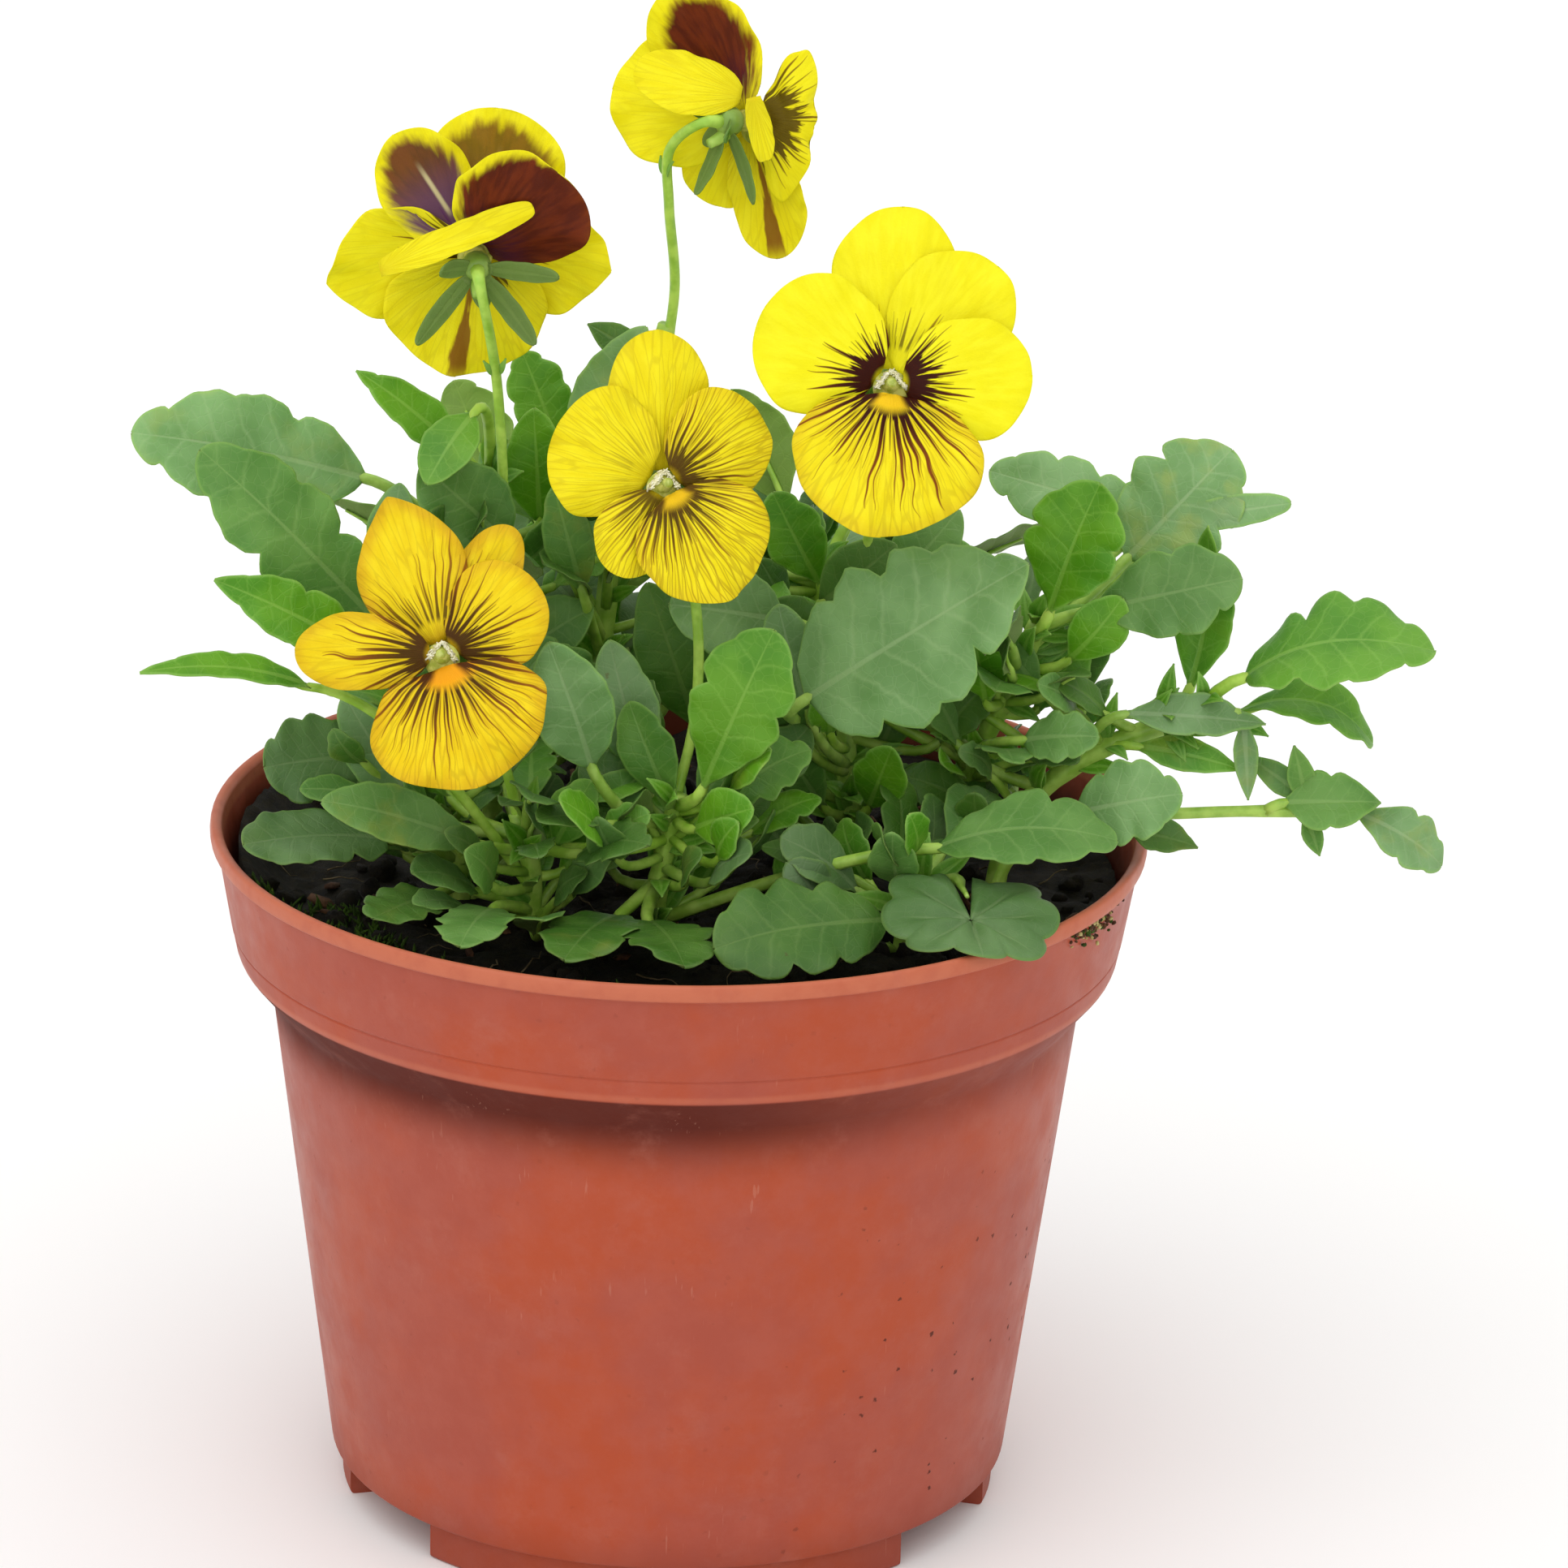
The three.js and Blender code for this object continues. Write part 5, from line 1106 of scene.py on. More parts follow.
def flower_holder(skin, stalk, bloom):
    """The flower stalk with its two bracts, the calyx with five sepals, the spur, and the pistil."""
    centre, out, up, right = bloom_frame(bloom)
    calyx = centre - CALYX_DROP * out
    route = smooth_route([*stalk, centre - (HUB_HALF_LENGTH + STALK_NECK) * out, calyx], 1.0)
    share = np.linspace(0, 1, len(route))
    swollen = 1 + 0.5 * np.exp(-(((share - 1) / 0.06) ** 2)) + 0.25 * np.exp(-(((share - 0.02) / 0.05) ** 2))
    tapered_rod(skin, route, STALK_RADIUS * swollen, 9, STALK, grey=0.05, light=1.08, lot=chance.random())
    joint = on_route(route, 0.62)
    way = unit(on_route(route, 0.66) - joint)
    for turn in (-1, 1):
        heading = unit(0.5 * turn * right + 0.9 * way)
        leaf_blade(skin, joint, joint + 3.2 * heading, 1.1, -out + 0.2 * up, "lance", 0.3, "fresh", 2.0)
    cup = [calyx + depth * out for depth in (-1.2, -0.6, 0.4, 1.5, 2.0)]
    tapered_rod(skin, cup, [0.9, 1.7, 2.0, 1.9, 1.5], 12, STALK, grey=0.5, light=0.75, lot=0.3)
    bends = ((1.4, 0.8), (-0.6, 2.2), (-2.4, 3.0))
    spur = smooth_route([calyx + ahead * out - drop * up for ahead, drop in bends], 0.5)
    tapered_rod(skin, spur, np.linspace(1.1, 0.7, len(spur)), 9, STALK, grey=0.3, light=1.0, lot=0.6)
    reaches = [np.array(reach, float) for reach in bloom.get("sepals", [])]
    for index in range(len(reaches), 5):
        turn = 2 * math.pi * (index + 0.5) / 5
        reaches.append(8.5 * (math.cos(turn) * up + math.sin(turn) * right) - 4.5 * out)
    for reach in reaches:
        sepal(skin, calyx + 0.1 * reach, calyx + reach, out)
    pistil = [calyx + 1.6 * out, *(centre + depth * out for depth in (1.4, 2.6, 3.2, 3.7))]
    tapered_rod(skin, pistil, [0.45, 0.5, 0.7, 0.65, 0.25], 12, PISTIL, light=1.0)


def layers(material, names):
    """The values that the mesh carries in its layers of these names."""
    return [node("Attribute", {}, material.node_tree, attribute_name=name)["Fac"] for name in names]


def thin_line(distance, half_width, softness):
    """1 on a line and 0 beside it, from the distance to its middle."""
    return eased(half_width - distance, -softness, softness)


def off_cell_edge(coordinates, size):
    """The distance to the nearest border between cells of about this size, as a share of it."""
    inputs = {"Vector": coordinates, "Scale": 1 / size}
    return node("TexVoronoi", inputs, feature="DISTANCE_TO_EDGE")[0]


def lit_by(tint, light):
    """A colour made lighter or darker by a value round 1."""
    shade = node("CombineColor", {0: light, 1: light, 2: light})[0]
    return tinted(1.0, tint, shade, "MULTIPLY")


def pansy_leaf():
    material, shader, place = new_material("pansy_leaf")
    across, along, length, vein, rim, under, grey, light, lot = layers(material, LEAF_LAYERS)
    share = along / length
    # side veins leave the midrib at a slant and thin out towards the edge
    wander = swing(noise(place, 3.5), 0.55)
    off_vein = abs(maths("FRACT", vein + wander) - 0.5) * 3.0
    side_veins = thin_line(off_vein, eased(rim, 0.2, 5.0, 0.03, 0.17), 0.26)
    midrib = thin_line(abs(across), (1.1 - share) * 0.42, 0.12)
    net = eased(off_cell_edge(place, 1.5), 0.07, 0.0)
    veins = greater(midrib, side_veins * 0.7)
    patches = mottled(place, 9)
    lively = tinted(patches, "4A8610", "629A1A")
    waxy = tinted(patches, "6B9256", "82A76E")
    green = tinted(grey, lively, waxy)
    pale_vein = tinted(grey, "98C454", "A8C090")
    green = tinted(veins * 0.34, green, pale_vein)
    green = tinted(net * 0.1, green, pale_vein)
    green = tinted(eased(rim, 0.5, 0.1, 0.0, 0.45), green, "8FB858")
    yellowing = eased(lot, 0.8, 1.0) * eased(noise(place, 5), 0.5, 0.75)
    green = tinted(yellowing * 0.35, green, "A8A83C")
    green = tinted(under, green, tinted(0.5, green, "97A65C"))
    nicks = grouped(SPECKS, Place=place, Cell=5.0, Radius=0.2, Chance=0.12)
    green = lit_by(tinted(nicks * 0.5, green, "6A5A2C"), light)
    gloss = eased(noise(place, 4, 4.0), 0.3, 0.7, 0.36, 0.5) + under * 0.2
    height = 1.0 - veins * 0.9 - net * 0.35 + noise(place, 0.6) * 0.5
    normal = bumped(height, 0.4, 0.14)
    finish_with(shader, Base_Color=green, Roughness=gloss, Normal=normal, Specular_IOR_Level=0.3)
    lit_through(shader, 0.12, (0.5, 1.0, 0.25))
    return material


def green_stalk():
    material, shader, place = new_material("green_stalk")
    grey, light, lot = layers(material, ("grey", "light", "lot"))
    streaks = mottled(place, 2.6)
    lively = tinted(streaks, "90BC38", "B2D656")
    dull = tinted(streaks, "88AC4C", "A6C66C")
    green = tinted(grey, lively, dull)
    flushed = eased(noise(place, 10), 0.58, 0.8, 0.0, 0.2)
    green = lit_by(tinted(flushed * lot, green, "7A5A3C"), light)
    gloss = eased(streaks, 0.0, 1.0, 0.38, 0.55)
    normal = bumped(streaks + noise(place, 0.5), 0.25, 0.08)
    finish_with(shader, Base_Color=green, Roughness=gloss, Normal=normal)
    lit_through(shader, 0.15, (0.5, 1.0, 0.25))
    return material


def soft_flesh(name, dark, light, gloss, sizes=(0.8, 0.5, 0.3), bump=(0.4, 0.1), specular=0.5):
    """Soft flesh between two colours; sizes are those of its patches, of its sheen and of its grain."""
    material, shader, place = new_material(name)
    patch, sheen, grain = sizes
    mixed = tinted(mottled(place, patch), dark, light)
    normal = bumped(noise(place, grain), *bump)
    finish_with(shader, Base_Color=mixed, Roughness=mottled(place, sheen, *gloss, 0.2))
    finish_with(shader, Normal=normal, Specular_IOR_Level=specular)
    return material


BLOOM_PLACES = {
    "bloom_top_left": dict(
        centre=(-29, -4, 180),
        face=(-0.1, 0.97, 0.2),
        sepals=[(-8, -3, -10), (8, -2, -10), (11, -4, 0), (-5, -4, 0.5), (1, 1, -6)],
    ),
    "bloom_top": dict(
        centre=(8, 8, 196),
        face=(0.8, 0.58, -0.1),
        sepals=[(-4, -1, -10), (4, -2, -11), (-5, -1, 2), (0, -5, -1), (-3, 3, -4)],
    ),
    "bloom_right": dict(centre=(27, -24, 169), face=(0.02, -0.96, 0.28)),
    "bloom_middle": dict(centre=(-3, -26, 155), face=(0.22, -0.93, 0.3)),
    "bloom_front_left": dict(centre=(-32, -34, 133), face=(-0.05, -0.94, 0.34)),
}

LEAF, STALK, PISTIL = range(3)
pistil_flesh = soft_flesh("pistil_flesh", "9AAA3A", "C3CC6C", (0.35, 0.5))
stem_materials = (pansy_leaf(), green_stalk(), pistil_flesh)
for name, stem in STEMS.items():
    skin = Skin(*LEAF_LAYERS)
    thickness = stem.get("thickness", 1)
    route = smooth_route(stem["route"])
    share = np.linspace(0, 1, len(route))
    knots = sum(np.exp(-(((share - row[0]) / 0.03) ** 2)) for row in stem["leaves"])
    radii = STEM_RADIUS * thickness * (1 - 0.18 * share) * (1 + 0.12 * np.minimum(knots, 1.4))
    tapered_rod(skin, route, radii, 20, STALK, ribs=0.06, grey=0.25, light=0.95, lot=chance.random())
    for place, *blade in stem["leaves"]:
        start = on_route(route, place)
        leaf(skin, start, *blade)
        if thickness == 1 and place > 0.35:
            way = unit(on_route(route, min(1, place + 0.04)) - on_route(route, place - 0.04))
            stipules(skin, start, way)
    if thickness == 1:
        undergrowth(skin, route, BACK_UNDERGROWTH if "back" in name else FRONT_UNDERGROWTH)
    if "bloom" in stem:
        flower_holder(skin, stem["stalk"], BLOOM_PLACES[stem["bloom"]])
    piece = skin.piece("leafy_" + name, *stem_materials)
    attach(piece, "root")
    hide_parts(name)

# ---------------------------------------------------------------- the blooms
# Five pansy blooms, each of five thin velvety petals that overlap from the upper pair to the broad lip.
# Dark rays run out from the throat, and the backs of the two topmost blooms are stained wine-red.

PETAL_THICKNESS = 0.3
PETAL_ROOT = 1.7
TUFT_HAIRS = 60
PETAL_FORMS = {
    "fan": dict(peak=0.46, root=0.28, crown=0.55, fold=-0.05, wave=0.05),
    "petal": dict(peak=0.56, root=0.42, crown=0.45, fold=-0.06, wave=0.03),
    "slab": dict(peak=0.62, root=0.55, crown=0.32, fold=-0.06, wave=0.02),
    "peaked": dict(peak=0.48, root=0.42, crown=0.75, fold=-0.06, wave=0.03),
    "fold": dict(peak=0.5, root=0.25, crown=0.25, fold=0.25, wave=0),
}
# What each kind of petal is marked with. rays: how far the rays reach; dark: how strong they are;
# blotch: how far the dark patch at the throat reaches, within span radians of the petal's middle;
# veins: strength of the fine veins; gold and rust: how golden the petal and how brown its rim is;
# throat: reach of the orange spot; wine: strength of the stain on its back; purple: how lilac that is
# towards the root, where a painted highlight runs along a crease; rims: width of the yellow rim at its
# left and right; streak: length of a dark stripe along its middle. Lengths are in millimetres.
PLAIN = dict(rays=0, dark=0, blotch=0, span=0.8, veins=0.15, gold=0.1, rust=0, throat=0)
PLAIN.update(wine=0, purple=0, streak=0)
PETAL_LAYERS = ("across", "along", "rim", "rim_width", "under", "lot", *PLAIN)
PLAIN["rims"] = (2, 2)
MARKINGS = {
    "upper": dict(rays=11, dark=0.75, veins=0.06, gold=0.05),
    "side": dict(rays=11, dark=1, blotch=5.4, span=0.7, veins=0.05, gold=0.0),
    "lip": dict(rays=18, dark=1, blotch=4.6, span=1.0, veins=0.5, gold=0.4, throat=4.4, rust=0.4),
    "veined_upper": dict(rays=9, dark=0.3, veins=0.45, gold=0.35, rust=0.1),
    "veined_side": dict(rays=12, dark=0.9, blotch=4.6, span=0.7, veins=0.85, gold=0.35, rust=0.3),
    "veined_small": dict(rays=12, dark=0.8, blotch=3.0, span=0.5, veins=0.8, gold=0.35, rust=0.15),
    "veined_lip": dict(rays=14, dark=0.9, blotch=4.6, span=1.1, veins=0.95, gold=0.4, throat=4.0, rust=0.3),
    "golden_upper": dict(rays=17, dark=0.85, veins=0.4, gold=0.75, rust=0.8),
    "golden_side": dict(rays=15.5, dark=0.95, blotch=4.8, span=0.6, veins=0.35, gold=0.75, rust=0.6),
    "golden_lip": dict(rays=18, dark=0.95, blotch=4.4, span=1.0, veins=0.6, gold=0.85, rust=0.6, throat=5.2),
    "wine_back": dict(rays=8, dark=0.6, wine=1, rims=(-4, 1.2)),
    "wine_crease": dict(rays=8, dark=0.6, wine=0.95, purple=1, rims=(1.4, 1.0)),
    "wine_far": dict(rays=8, dark=0.5, wine=0.85, purple=0.25, rims=(1.8, 1.8)),
    "wine_olive": dict(rays=8, dark=0.5, wine=1, rims=(0.7, 3.0)),
    "folded": dict(veins=0.3, gold=0.2),
    "spotted": dict(rays=11, dark=0.9, blotch=6.4, span=0.8, veins=0.2, gold=0.15),
    "striped_lip": dict(rays=10, dark=0.2, veins=0.3, gold=0.2, streak=21),
    "yellow": dict(veins=0.2, gold=0.1),
}

# Petals are rows of (direction in degrees clockwise from the top, length, width, lift out of the bloom's
# plane in degrees, place along the hub, form, bow, markings) or, in a half-closed bloom, of
# (base, tip, width, the way its inner side looks, form, bow, markings) from the bloom's centre.
PETALS = {
    "bloom_top_left": [
        ((-1, 0, 1), (-11, -1, 16.5), 13, (-0.2, 0.9, 0.1), "petal", 1, "wine_crease"),
        ((0, 0, 1), (11, -5, 13), 19, (0.1, 0.9, 0.3), "slab", -1.5, "wine_back"),
        ((1, 1, 1), (3.5, 5, 18.8), 19, (0, 0.9, -0.3), "petal", 0, "wine_far"),
        ((-12.5, -6, -1), (8, -6, 8), 4.6, (0, -0.7, 0.7), "fold", 0, "folded"),
        ((-1, 1, 0), (-20, 3, -6), 19, (-0.2, 0.9, 0.2), "peaked", 1, "spotted"),
        ((1, 1, 0), (18.5, 2, -2.5), 18, (0.2, 0.9, 0.2), "peaked", 1, "spotted"),
        ((0, 1, -1), (-2.5, 4, -18.5), 22, (0, 0.9, 0.3), "fan", 1, "striped_lip"),
    ],
    "bloom_top": [
        ((-1, 1, 1), (-12, 4, 16.5), 16, (0.4, 0.85, 0.1), "petal", 1, "wine_olive"),
        ((-1, 2, 0), (-19, 7, 2), 18, (-0.2, -0.9, 0.3), "petal", 1, "yellow"),
        ((-1.5, -2, 4), (-16, -3, 7.5), 9, (-0.2, -0.8, 0.6), "petal", 0, "folded"),
        ((0, -3, 4), (1.8, -4.5, -4.5), 3.8, (0.5, -0.8, 0), "fold", 0, "folded"),
        ((1, 1, 0), (8.5, 1, -1), 21, (0.4, -0.9, 0.1), "slab", 1, "spotted"),
        ((0, 1, -2), (4, 2, -20), 10.5, (0.2, 0.9, 0.2), "petal", 1, "striped_lip"),
        ((-1, 2, -1), (-4.5, 5, -13.5), 13, (0, 0.9, 0.2), "petal", 1, "yellow"),
    ],
    "bloom_right": [
        (3, 23.5, 17, -4, -1.5, "petal", 0.5, "upper"),
        (42, 21.2, 16.5, -4, -0.6, "petal", 0.5, "upper"),
        (-63, 19.5, 19, 2, 0.3, "petal", 0.5, "side"),
        (86, 18.8, 16.5, 2, 0.3, "petal", 0.5, "side"),
        (183, 20.7, 25.5, 5, 1.5, "fan", 1, "lip"),
    ],
    "bloom_middle": [
        (2, 20.4, 14, -5, -1.5, "petal", 0.5, "veined_upper"),
        (-60, 16, 18, -4, -0.6, "petal", 0.5, "veined_upper"),
        (58, 16, 15, 3, 0.3, "petal", 0.5, "veined_side"),
        (-146, 14, 10.5, 3, 0.4, "petal", 0.5, "veined_small"),
        (150, 17.8, 18.5, 5, 1.5, "fan", 1, "veined_lip"),
    ],
    "bloom_front_left": [
        (-22, 22.3, 15, -4, -0.9, "peaked", 0.5, "golden_upper"),
        (26, 19.5, 9, -6, -1.8, "petal", 0.5, "golden_upper"),
        (52, 15.8, 14.5, 0, -0.3, "petal", 0.5, "golden_side"),
        (-91, 19.6, 10.5, 2, 0.4, "petal", 0.5, "golden_side"),
        (162, 18.5, 24.5, 5, 1.5, "fan", 1, "golden_lip"),
    ],
}


def petal(skin, base, tip, width, face, form, bow, marking, root_reach):
    """One petal. root_reach is how far its base lies from the middle of the throat."""
    shape = PETAL_FORMS[form]
    marks = {**PLAIN, **MARKINGS[marking]}
    length = np.linalg.norm(tip - base)
    rows, half_columns = 34, 11
    inner = np.linspace(0, 0.96, half_columns)
    columns = np.concatenate([[-1], -inner[:0:-1], inner, [1]])
    t, centre, side, up = midline(base, tip, face, bow, rows, 1.7)
    half = np.maximum(width / 2 * half_width(shape, t), 0.12)
    half = np.maximum(half, 1.1 * (1 - t / 0.2))[:, None]
    seed = chance.uniform(0, 6)
    lean = seed + 1.5 * np.sign(columns)
    waver = 0.035 * np.sin(6 * t[:, None] + lean) + 0.012 * np.sin(17 * t[:, None] + 2 * lean)
    across = half * columns * (1 + waver)
    along = t[:, None] * length + root_reach + 0 * across
    reach = np.abs(columns)
    rim = from_rim(across, along)
    middle = root_reach + 0.55 * length
    turn = np.arctan2(across, along - middle)
    near_rim = np.clip(1 - rim / (0.28 * width), 0, 1) ** 2
    frill = (0.55 * np.sin(5 * turn + seed) + 0.35 * np.sin(9 * turn + 2 * seed)) * near_rim * width / 20
    ripple = shape["wave"] * width * np.sin(9 * t)[:, None] * columns * 0.6
    dome = shape["fold"] * half * reach**1.5
    furrows = 0.07 * np.sin(26 * np.arctan2(across, along) + seed)
    furrows = furrows * np.clip(along / 9, 0, 1) * (1 - near_rim)
    lift = dome + ripple + frill + furrows
    points = centre[:, None] + side[:, None] * across[..., None] + up[:, None] * lift[..., None]
    thickness = PETAL_THICKNESS * np.clip(0.35 + rim / 2.5, 0.35, 1)
    left_rim, right_rim = marks.pop("rims")
    rings, layers = both_faces(
        points,
        surface_normals(points),
        thickness,
        across=across,
        along=along,
        rim=rim,
        rim_width=left_rim + (right_rim - left_rim) * (0.5 + 0.5 * columns) + 0 * across,
    )
    skin.loft(rings, PETAL, "strip", **layers, **marks, lot=chance.random())


def bearded_throat(skin, bloom):
    """The pale green knob and saucer that the petals spring from, and the slanting tufts of cream hair."""
    centre, out, up, right = bloom_frame(bloom)
    knob = [centre + depth * out for depth in (-2.4, -1.6, -0.2, 0.7, 1.1)]
    tapered_rod(skin, knob, [1.1, 1.5, 1.55, 1.1, 0.4], 20, THROAT, lot=0.5)
    saucer = [centre - 0.8 * up + depth * out for depth in (-0.6, -0.2, 0.1, 0.2)]
    tapered_rod(skin, saucer, [1.2, 2.2, 2.4, 1.6], 24, THROAT, lot=0.5)
    for turn in (-1, 1):
        for _ in range(TUFT_HAIRS):
            share = chance.random()
            root = centre + (0.2 + 1.7 * share) * turn * right + (1.5 - 2.2 * share) * up + 0.8 * out
            root = root + scatter(0.12)
            heading = unit(1.2 * out - 0.5 * turn * right + 0.3 * up + scatter(0.3))
            hair = [root - 0.5 * heading, root + 0.3 * heading, root + chance.uniform(0.5, 0.95) * heading]
            tapered_rod(skin, hair, [0.15, 0.12, 0.06], 5, BEARD)


def from_throat(across, along):
    """How far a place on a petal lies from the middle of the throat, and in what direction."""
    radius = maths("SQRT", across * across + along * along)
    return radius, maths("ARCTAN2", across, along)


def throat_rays():
    """Rays that run out from the throat, each of its own length, and narrow to nothing. Crowding is the
    number of rays to a radian."""
    inputs = ("Across", "Along", "Reach", "Crowding", "Width", "Lot")
    tree, given, result = new_group("throat_rays", inputs, "Rays")
    flat = vector(given["Across"], given["Along"], given["Lot"] * 50)
    radius, angle = from_throat(given["Across"], given["Along"])
    sway = swing(noise(flat, 6.0, 1.0), eased(radius, 2, 14, 0.0, 0.16))
    turned_to = (angle + sway) * given["Crowding"] + given["Lot"] * 31
    # each ray draws its own length, width and place
    drawn = node("TexWhiteNoise", {"W": maths("FLOOR", turned_to)}, noise_dimensions="1D")["Color"]
    drawn = node("SeparateColor", {0: drawn})
    off = abs(maths("FRACT", turned_to) - (0.5 + swing(drawn[2], 0.4)))
    distance = off / given["Crowding"] * radius
    length = given["Reach"] * (0.5 + drawn[0] * 0.55)
    left = greater(1.0 - radius / greater(length, 0.1), 0.0)
    width = given["Width"] * left**0.6 * (0.5 + drawn[1] * 0.9)
    feed(result, thin_line(distance, width, 0.09) * maths("GREATER_THAN", left, 0.0))
    return tree


RAYS = throat_rays()


def petal_velvet():
    material, shader, place = new_material("petal_velvet")
    at = dict(zip(PETAL_LAYERS, layers(material, PETAL_LAYERS)))
    radius, angle = from_throat(at["across"], at["along"])
    radial = vector(angle * 13, radius * 0.22, at["lot"] * 40)
    fibres = noise(radial, 1.0, 4.0)
    fibrous = eased(fibres, 0.35, 0.65)
    # broad rays, narrow ones between them further out, and finer veins than either
    here = {"Across": at["across"], "Along": at["along"], "Lot": at["lot"]}
    broad = grouped(RAYS, **here, Reach=at["rays"], Crowding=6.5, Width=0.36)
    between = grouped(RAYS, **here, Reach=at["rays"], Crowding=11.0, Width=0.17)
    fine = grouped(RAYS, **here, Reach=at["veins"] * 40, Crowding=15.0, Width=0.12)
    rays = greater(broad, between * eased(radius, 4, 8))
    # the dark patch at the throat
    off_axis = abs(angle)
    narrowed = greater(off_axis - at["span"], 0.0) * 16
    blotch_edge = at["blotch"] + swing(fibres, 9.0) - (radius + narrowed)
    blotch = eased(blotch_edge, -0.4, 0.4) * eased(at["blotch"], 0.5, 1.0)
    # the rays begin further out above the throat, and leave the orange spot clear
    outset = eased(at["blotch"], 0.5, 1.0, 4.0, 1.5)
    begun = eased(radius - outset, 0.0, 1.2)
    beyond = eased(radius - at["throat"], -1.2, 0.4)
    clear = greater(eased(off_axis, 0.45, 0.8), beyond)
    dark = greater(rays, blotch) * (begun * clear) * at["dark"]
    yellow = tinted(fibrous, "EFE410", "F5EC1E")
    golden = tinted(fibrous, "E6BC0C", "EFCB16")
    flesh = tinted(at["gold"], yellow, golden)
    uneven_rim = at["rim"] + swing(noise(place, 1.6), 1.2)
    deep_rim = eased(uneven_rim, 2.6, 0.0) * at["rust"]
    flesh = tinted(deep_rim * 0.7, flesh, "C8861A")
    # the fine veins branch and join again towards the rim
    drawn_out = vector(angle * 15, radius * 0.12, at["lot"] * 20)
    branches = eased(off_cell_edge(drawn_out, 1.0), 0.09, 0.02) * eased(radius, 7, 12, 0.0, 0.45)
    veins = greater(fine * eased(radius, 8, 14, 1.0, 0.7), branches)
    vein_depth = at["veins"] * eased(radius, 5, 13, 0.6, 0.9)
    flesh = tinted(veins * vein_depth, flesh, "84560C")
    near_throat = eased(at["throat"] - radius, -1.0, 1.6)
    orange = tinted(eased(at["gold"], 0.3, 0.9), "FAC81A", "F69E10")
    flesh = tinted(near_throat * 0.9, flesh, orange)
    flesh = tinted(dark, flesh, tinted(eased(radius, 5, 13), "340A00", "803E08"))
    # a ragged stripe along the middle, which widens outwards
    stripe_half = eased(at["along"], 8, 17, -0.5, 0.45) + fibres * 1.6
    stripe = thin_line(abs(at["across"]), stripe_half, 0.2)
    stripe = stripe * eased(at["streak"] - at["along"], 0.0, 4.0) * eased(at["along"], 3.5, 5.0)
    flesh = tinted(stripe * 0.85, flesh, "742A12")
    # the stain on the back: wine-red inside a yellow rim that breaks up into streaks
    inside_rim = at["rim"] + swing(fibres, 3.6) - at["rim_width"]
    stained = eased(inside_rim, -1.0, 1.4) * at["wine"] * at["under"]
    wine = tinted(eased(radius, 3, 10), "56203A", "521A06")
    wine = tinted(eased(fibres, 0.35, 0.65, 0.0, 0.6), wine, "762E0C")
    lilac = eased(at["along"], 15, 7, 0.1, 1.0)
    wine = tinted(at["purple"] * lilac, wine, "562460")
    # a painted highlight: a pale line along a crease towards the root, where the back is lilac
    creased = eased(at["along"], 5, 7) * eased(at["along"], 15, 11)
    crease_highlight = thin_line(abs(at["across"] + 0.4), 0.3, 0.2) * creased * at["purple"]
    wine = tinted(crease_highlight * 0.85, wine, "CFC59A")
    flesh = tinted(stained, flesh, wine)
    spots = grouped(SPECKS, Place=place, Cell=6.0, Radius=0.16, Chance=0.12)
    flesh = tinted(spots * 0.5, flesh, "A87A20")
    gloss = mottled(place, 2.5, 0.5, 0.68, 0.2)
    normal = bumped(fibres * 0.8 + noise(place, 0.25) * 0.5 - fine * 0.4, 0.45, 0.2)
    finish_with(shader, Base_Color=flesh, Roughness=gloss, Normal=normal, Specular_IOR_Level=0.14)
    lit_through(shader, 0.2, (1.0, 0.9, 0.15))
    return material


PETAL, BEARD, THROAT = range(3)
beard_hair = soft_flesh("beard_hair", "E8E2B4", "FBF8E2", (0.5, 0.7), (0.6, 0.4, 0.2), (0.3, 0.05))
throat_flesh = soft_flesh("throat_flesh", "A9B23A", "D2D068", (0.4, 0.6), specular=0.25)
bloom_materials = (petal_velvet(), beard_hair, throat_flesh)
for name, petals in PETALS.items():
    skin = Skin(*PETAL_LAYERS)
    bloom = BLOOM_PLACES[name]
    centre, out, up, right = bloom_frame(bloom)
    for first, *rest in petals:
        if isinstance(first, tuple):
            tip, width, face, form, bow, marking = rest
            base, tip = centre + first, centre + tip
            root_reach = 0.0 if form == "fold" else 1.0
            petal(skin, base, tip, width, np.array(face, float), form, bow, marking, root_reach)
        else:
            length, width, lift, place, form, bow, marking = rest
            turn, tilt = math.radians(first), math.radians(lift)
            axis = math.cos(tilt) * (math.cos(turn) * up + math.sin(turn) * right) + math.sin(tilt) * out
            root = centre + place * out
            base, tip = root + PETAL_ROOT * axis, root + length * axis
            petal(skin, base, tip, width, out, form, bow, marking, PETAL_ROOT)
    bearded_throat(skin, bloom)
    piece = skin.piece("pansy_" + name, *bloom_materials)
    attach(piece, "root")
    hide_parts(name)

# ---------------------------------------------------------------- the studio
# A white sweep under a broad soft light from the upper left of the front, a paler one from straight
# above, and a white sky all round.

SWEEP_HALF_WIDTH = 4.5
SKY_STRENGTH = 0.66


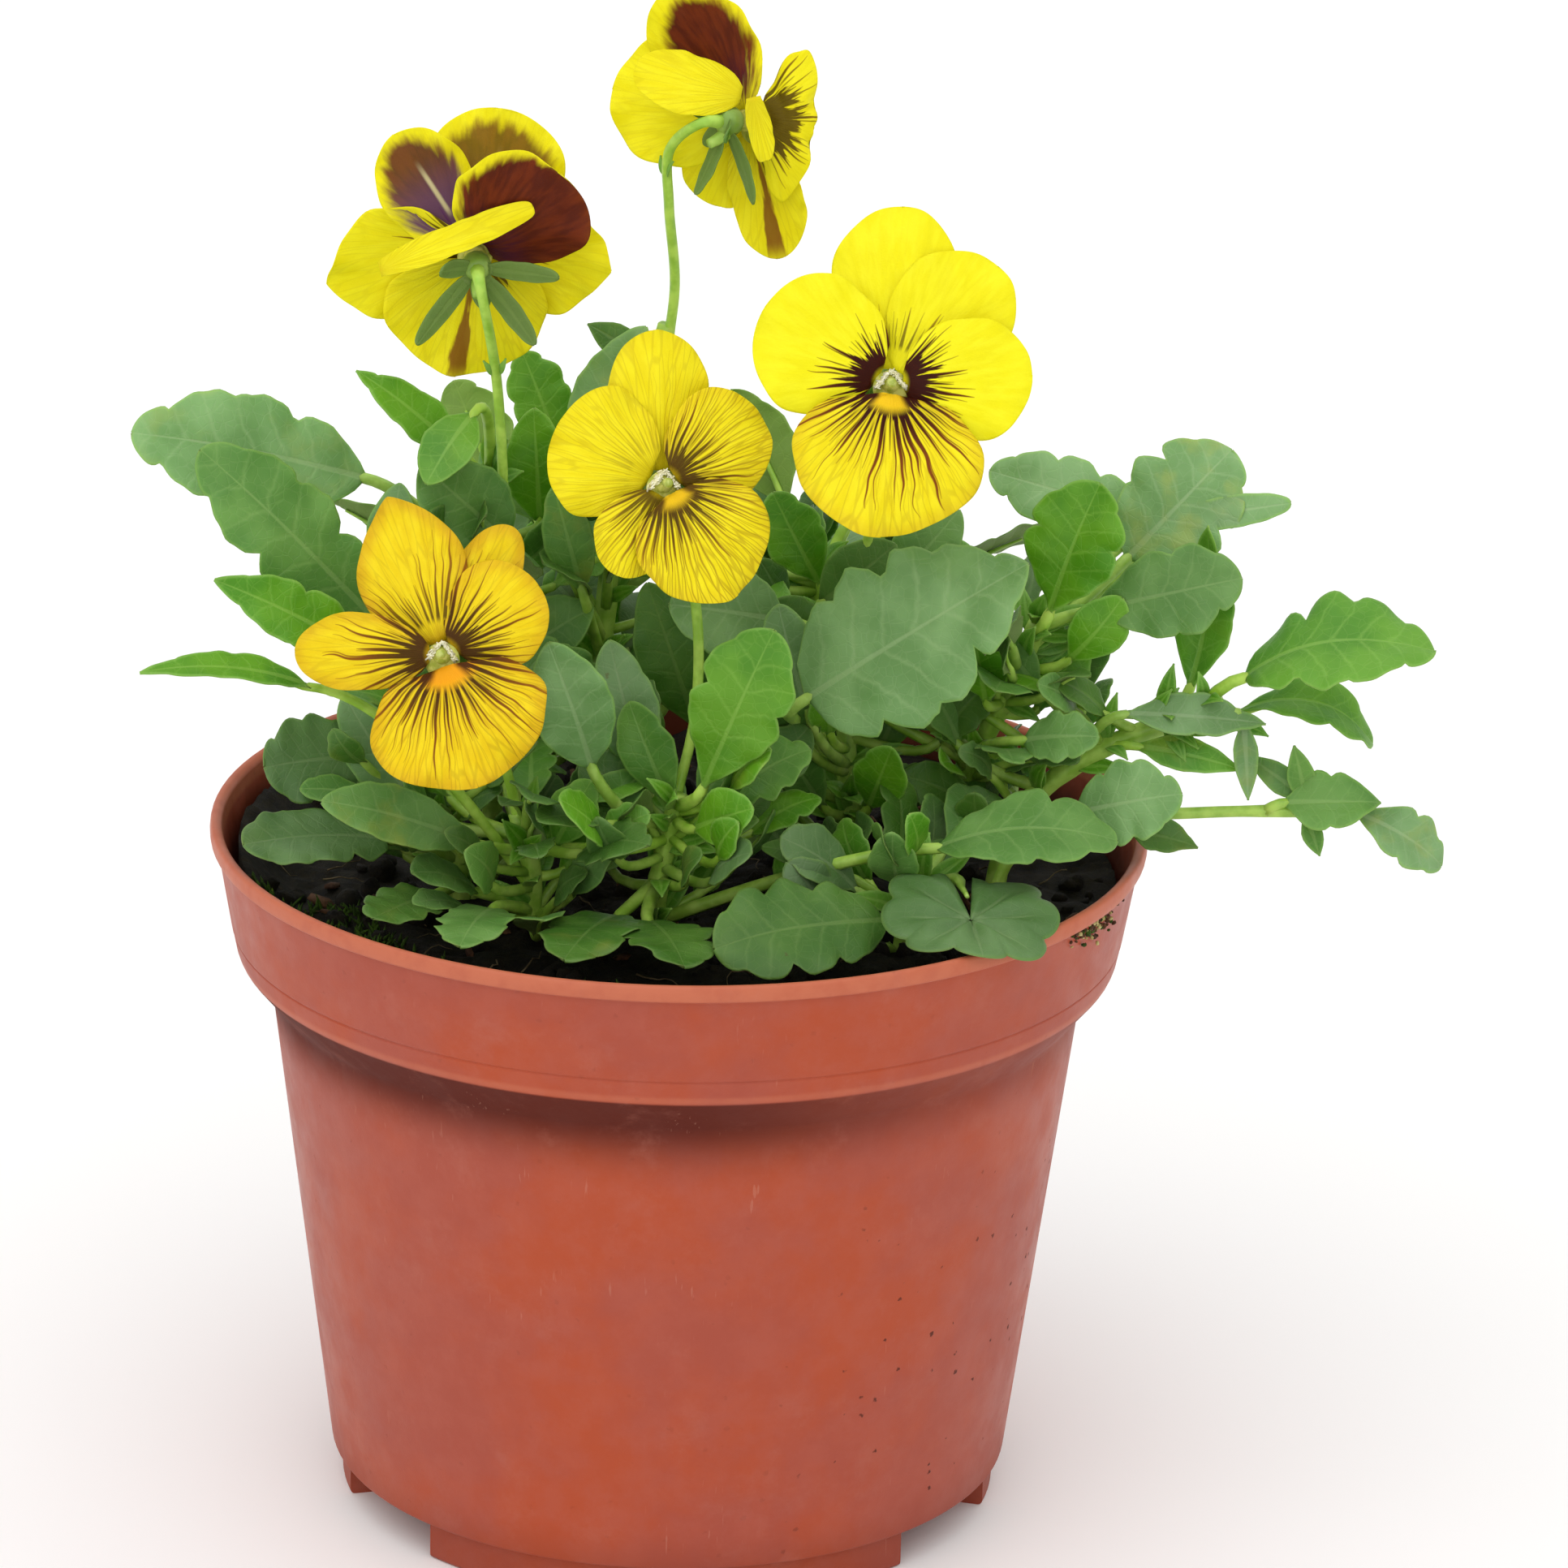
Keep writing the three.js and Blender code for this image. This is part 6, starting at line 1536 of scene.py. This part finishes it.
def sweep():
    half = SWEEP_HALF_WIDTH
    corners = [(-half, -half, 0), (half, -half, 0), (half, half, 0), (-half, half, 0)]
    mesh = bpy.data.meshes.new("sweep")
    mesh.from_pydata(corners, [], [(0, 1, 2, 3)])
    material, shader, place = new_material("matt_white")
    shade = tinted(noise(place, 300), "FAFAF9", "FDFDFC")
    finish_with(shader, Base_Color=shade, Roughness=0.9)
    mesh.materials.append(material)
    in_scene("sweep", mesh)


def soft_light(name, place, width, strength):
    """A wide distant lamp that shines from a place, given by its direction only, on the middle."""
    lamp = bpy.data.lights.new(name, "SUN")
    lamp.angle = math.radians(width)
    lamp.energy = strength
    made = in_scene(name, lamp)
    made.location = place
    made.rotation_mode = "QUATERNION"
    made.rotation_quaternion = Vector(place).to_track_quat("Z", "Y")


sweep()
soft_light("key", (-0.3, -0.8, 0.9), 85, 1.1)
soft_light("top", (0.15, 0.1, 1.2), 110, 0.7)

world = bpy.data.worlds.new("soft_sky")
world.use_nodes = True
sky = world.node_tree.nodes["Background"].inputs
sky["Color"].default_value = (1, 1, 1, 1)
sky["Strength"].default_value = SKY_STRENGTH
bpy.context.scene.world = world
bpy.context.scene.view_settings.view_transform = "Standard"

CAMERA_PLACE = (0, -1.0579, 0.4816)
CAMERA_PITCH = 0.3433
CAMERA_YAW = 0.0136
CAMERA_ROLL = 0.0236
FOCAL_LENGTH = 186.3
SENSOR_WIDTH = 36

# Its place is in metres and its angles are in radians: yaw turns it to the right, pitch looks down, and
# roll turns it about its line of sight.
level = Vector((math.sin(CAMERA_YAW), math.cos(CAMERA_YAW), 0)) * math.cos(CAMERA_PITCH)
ahead = level - Vector((0, 0, math.sin(CAMERA_PITCH)))
right = Vector((math.cos(CAMERA_YAW), -math.sin(CAMERA_YAW), 0))
up = right.cross(ahead)
camera_right = math.cos(CAMERA_ROLL) * right + math.sin(CAMERA_ROLL) * up
camera_up = math.cos(CAMERA_ROLL) * up - math.sin(CAMERA_ROLL) * right
camera = in_scene("camera", bpy.data.cameras.new("camera"))
camera.data.lens = FOCAL_LENGTH
camera.data.sensor_width = SENSOR_WIDTH
camera.data.clip_start = 0.05
camera.data.clip_end = 20
turned_to = Matrix((camera_right, camera_up, -ahead)).transposed()
camera.matrix_world = Matrix.Translation(CAMERA_PLACE) @ turned_to.to_4x4()
bpy.context.scene.camera = camera
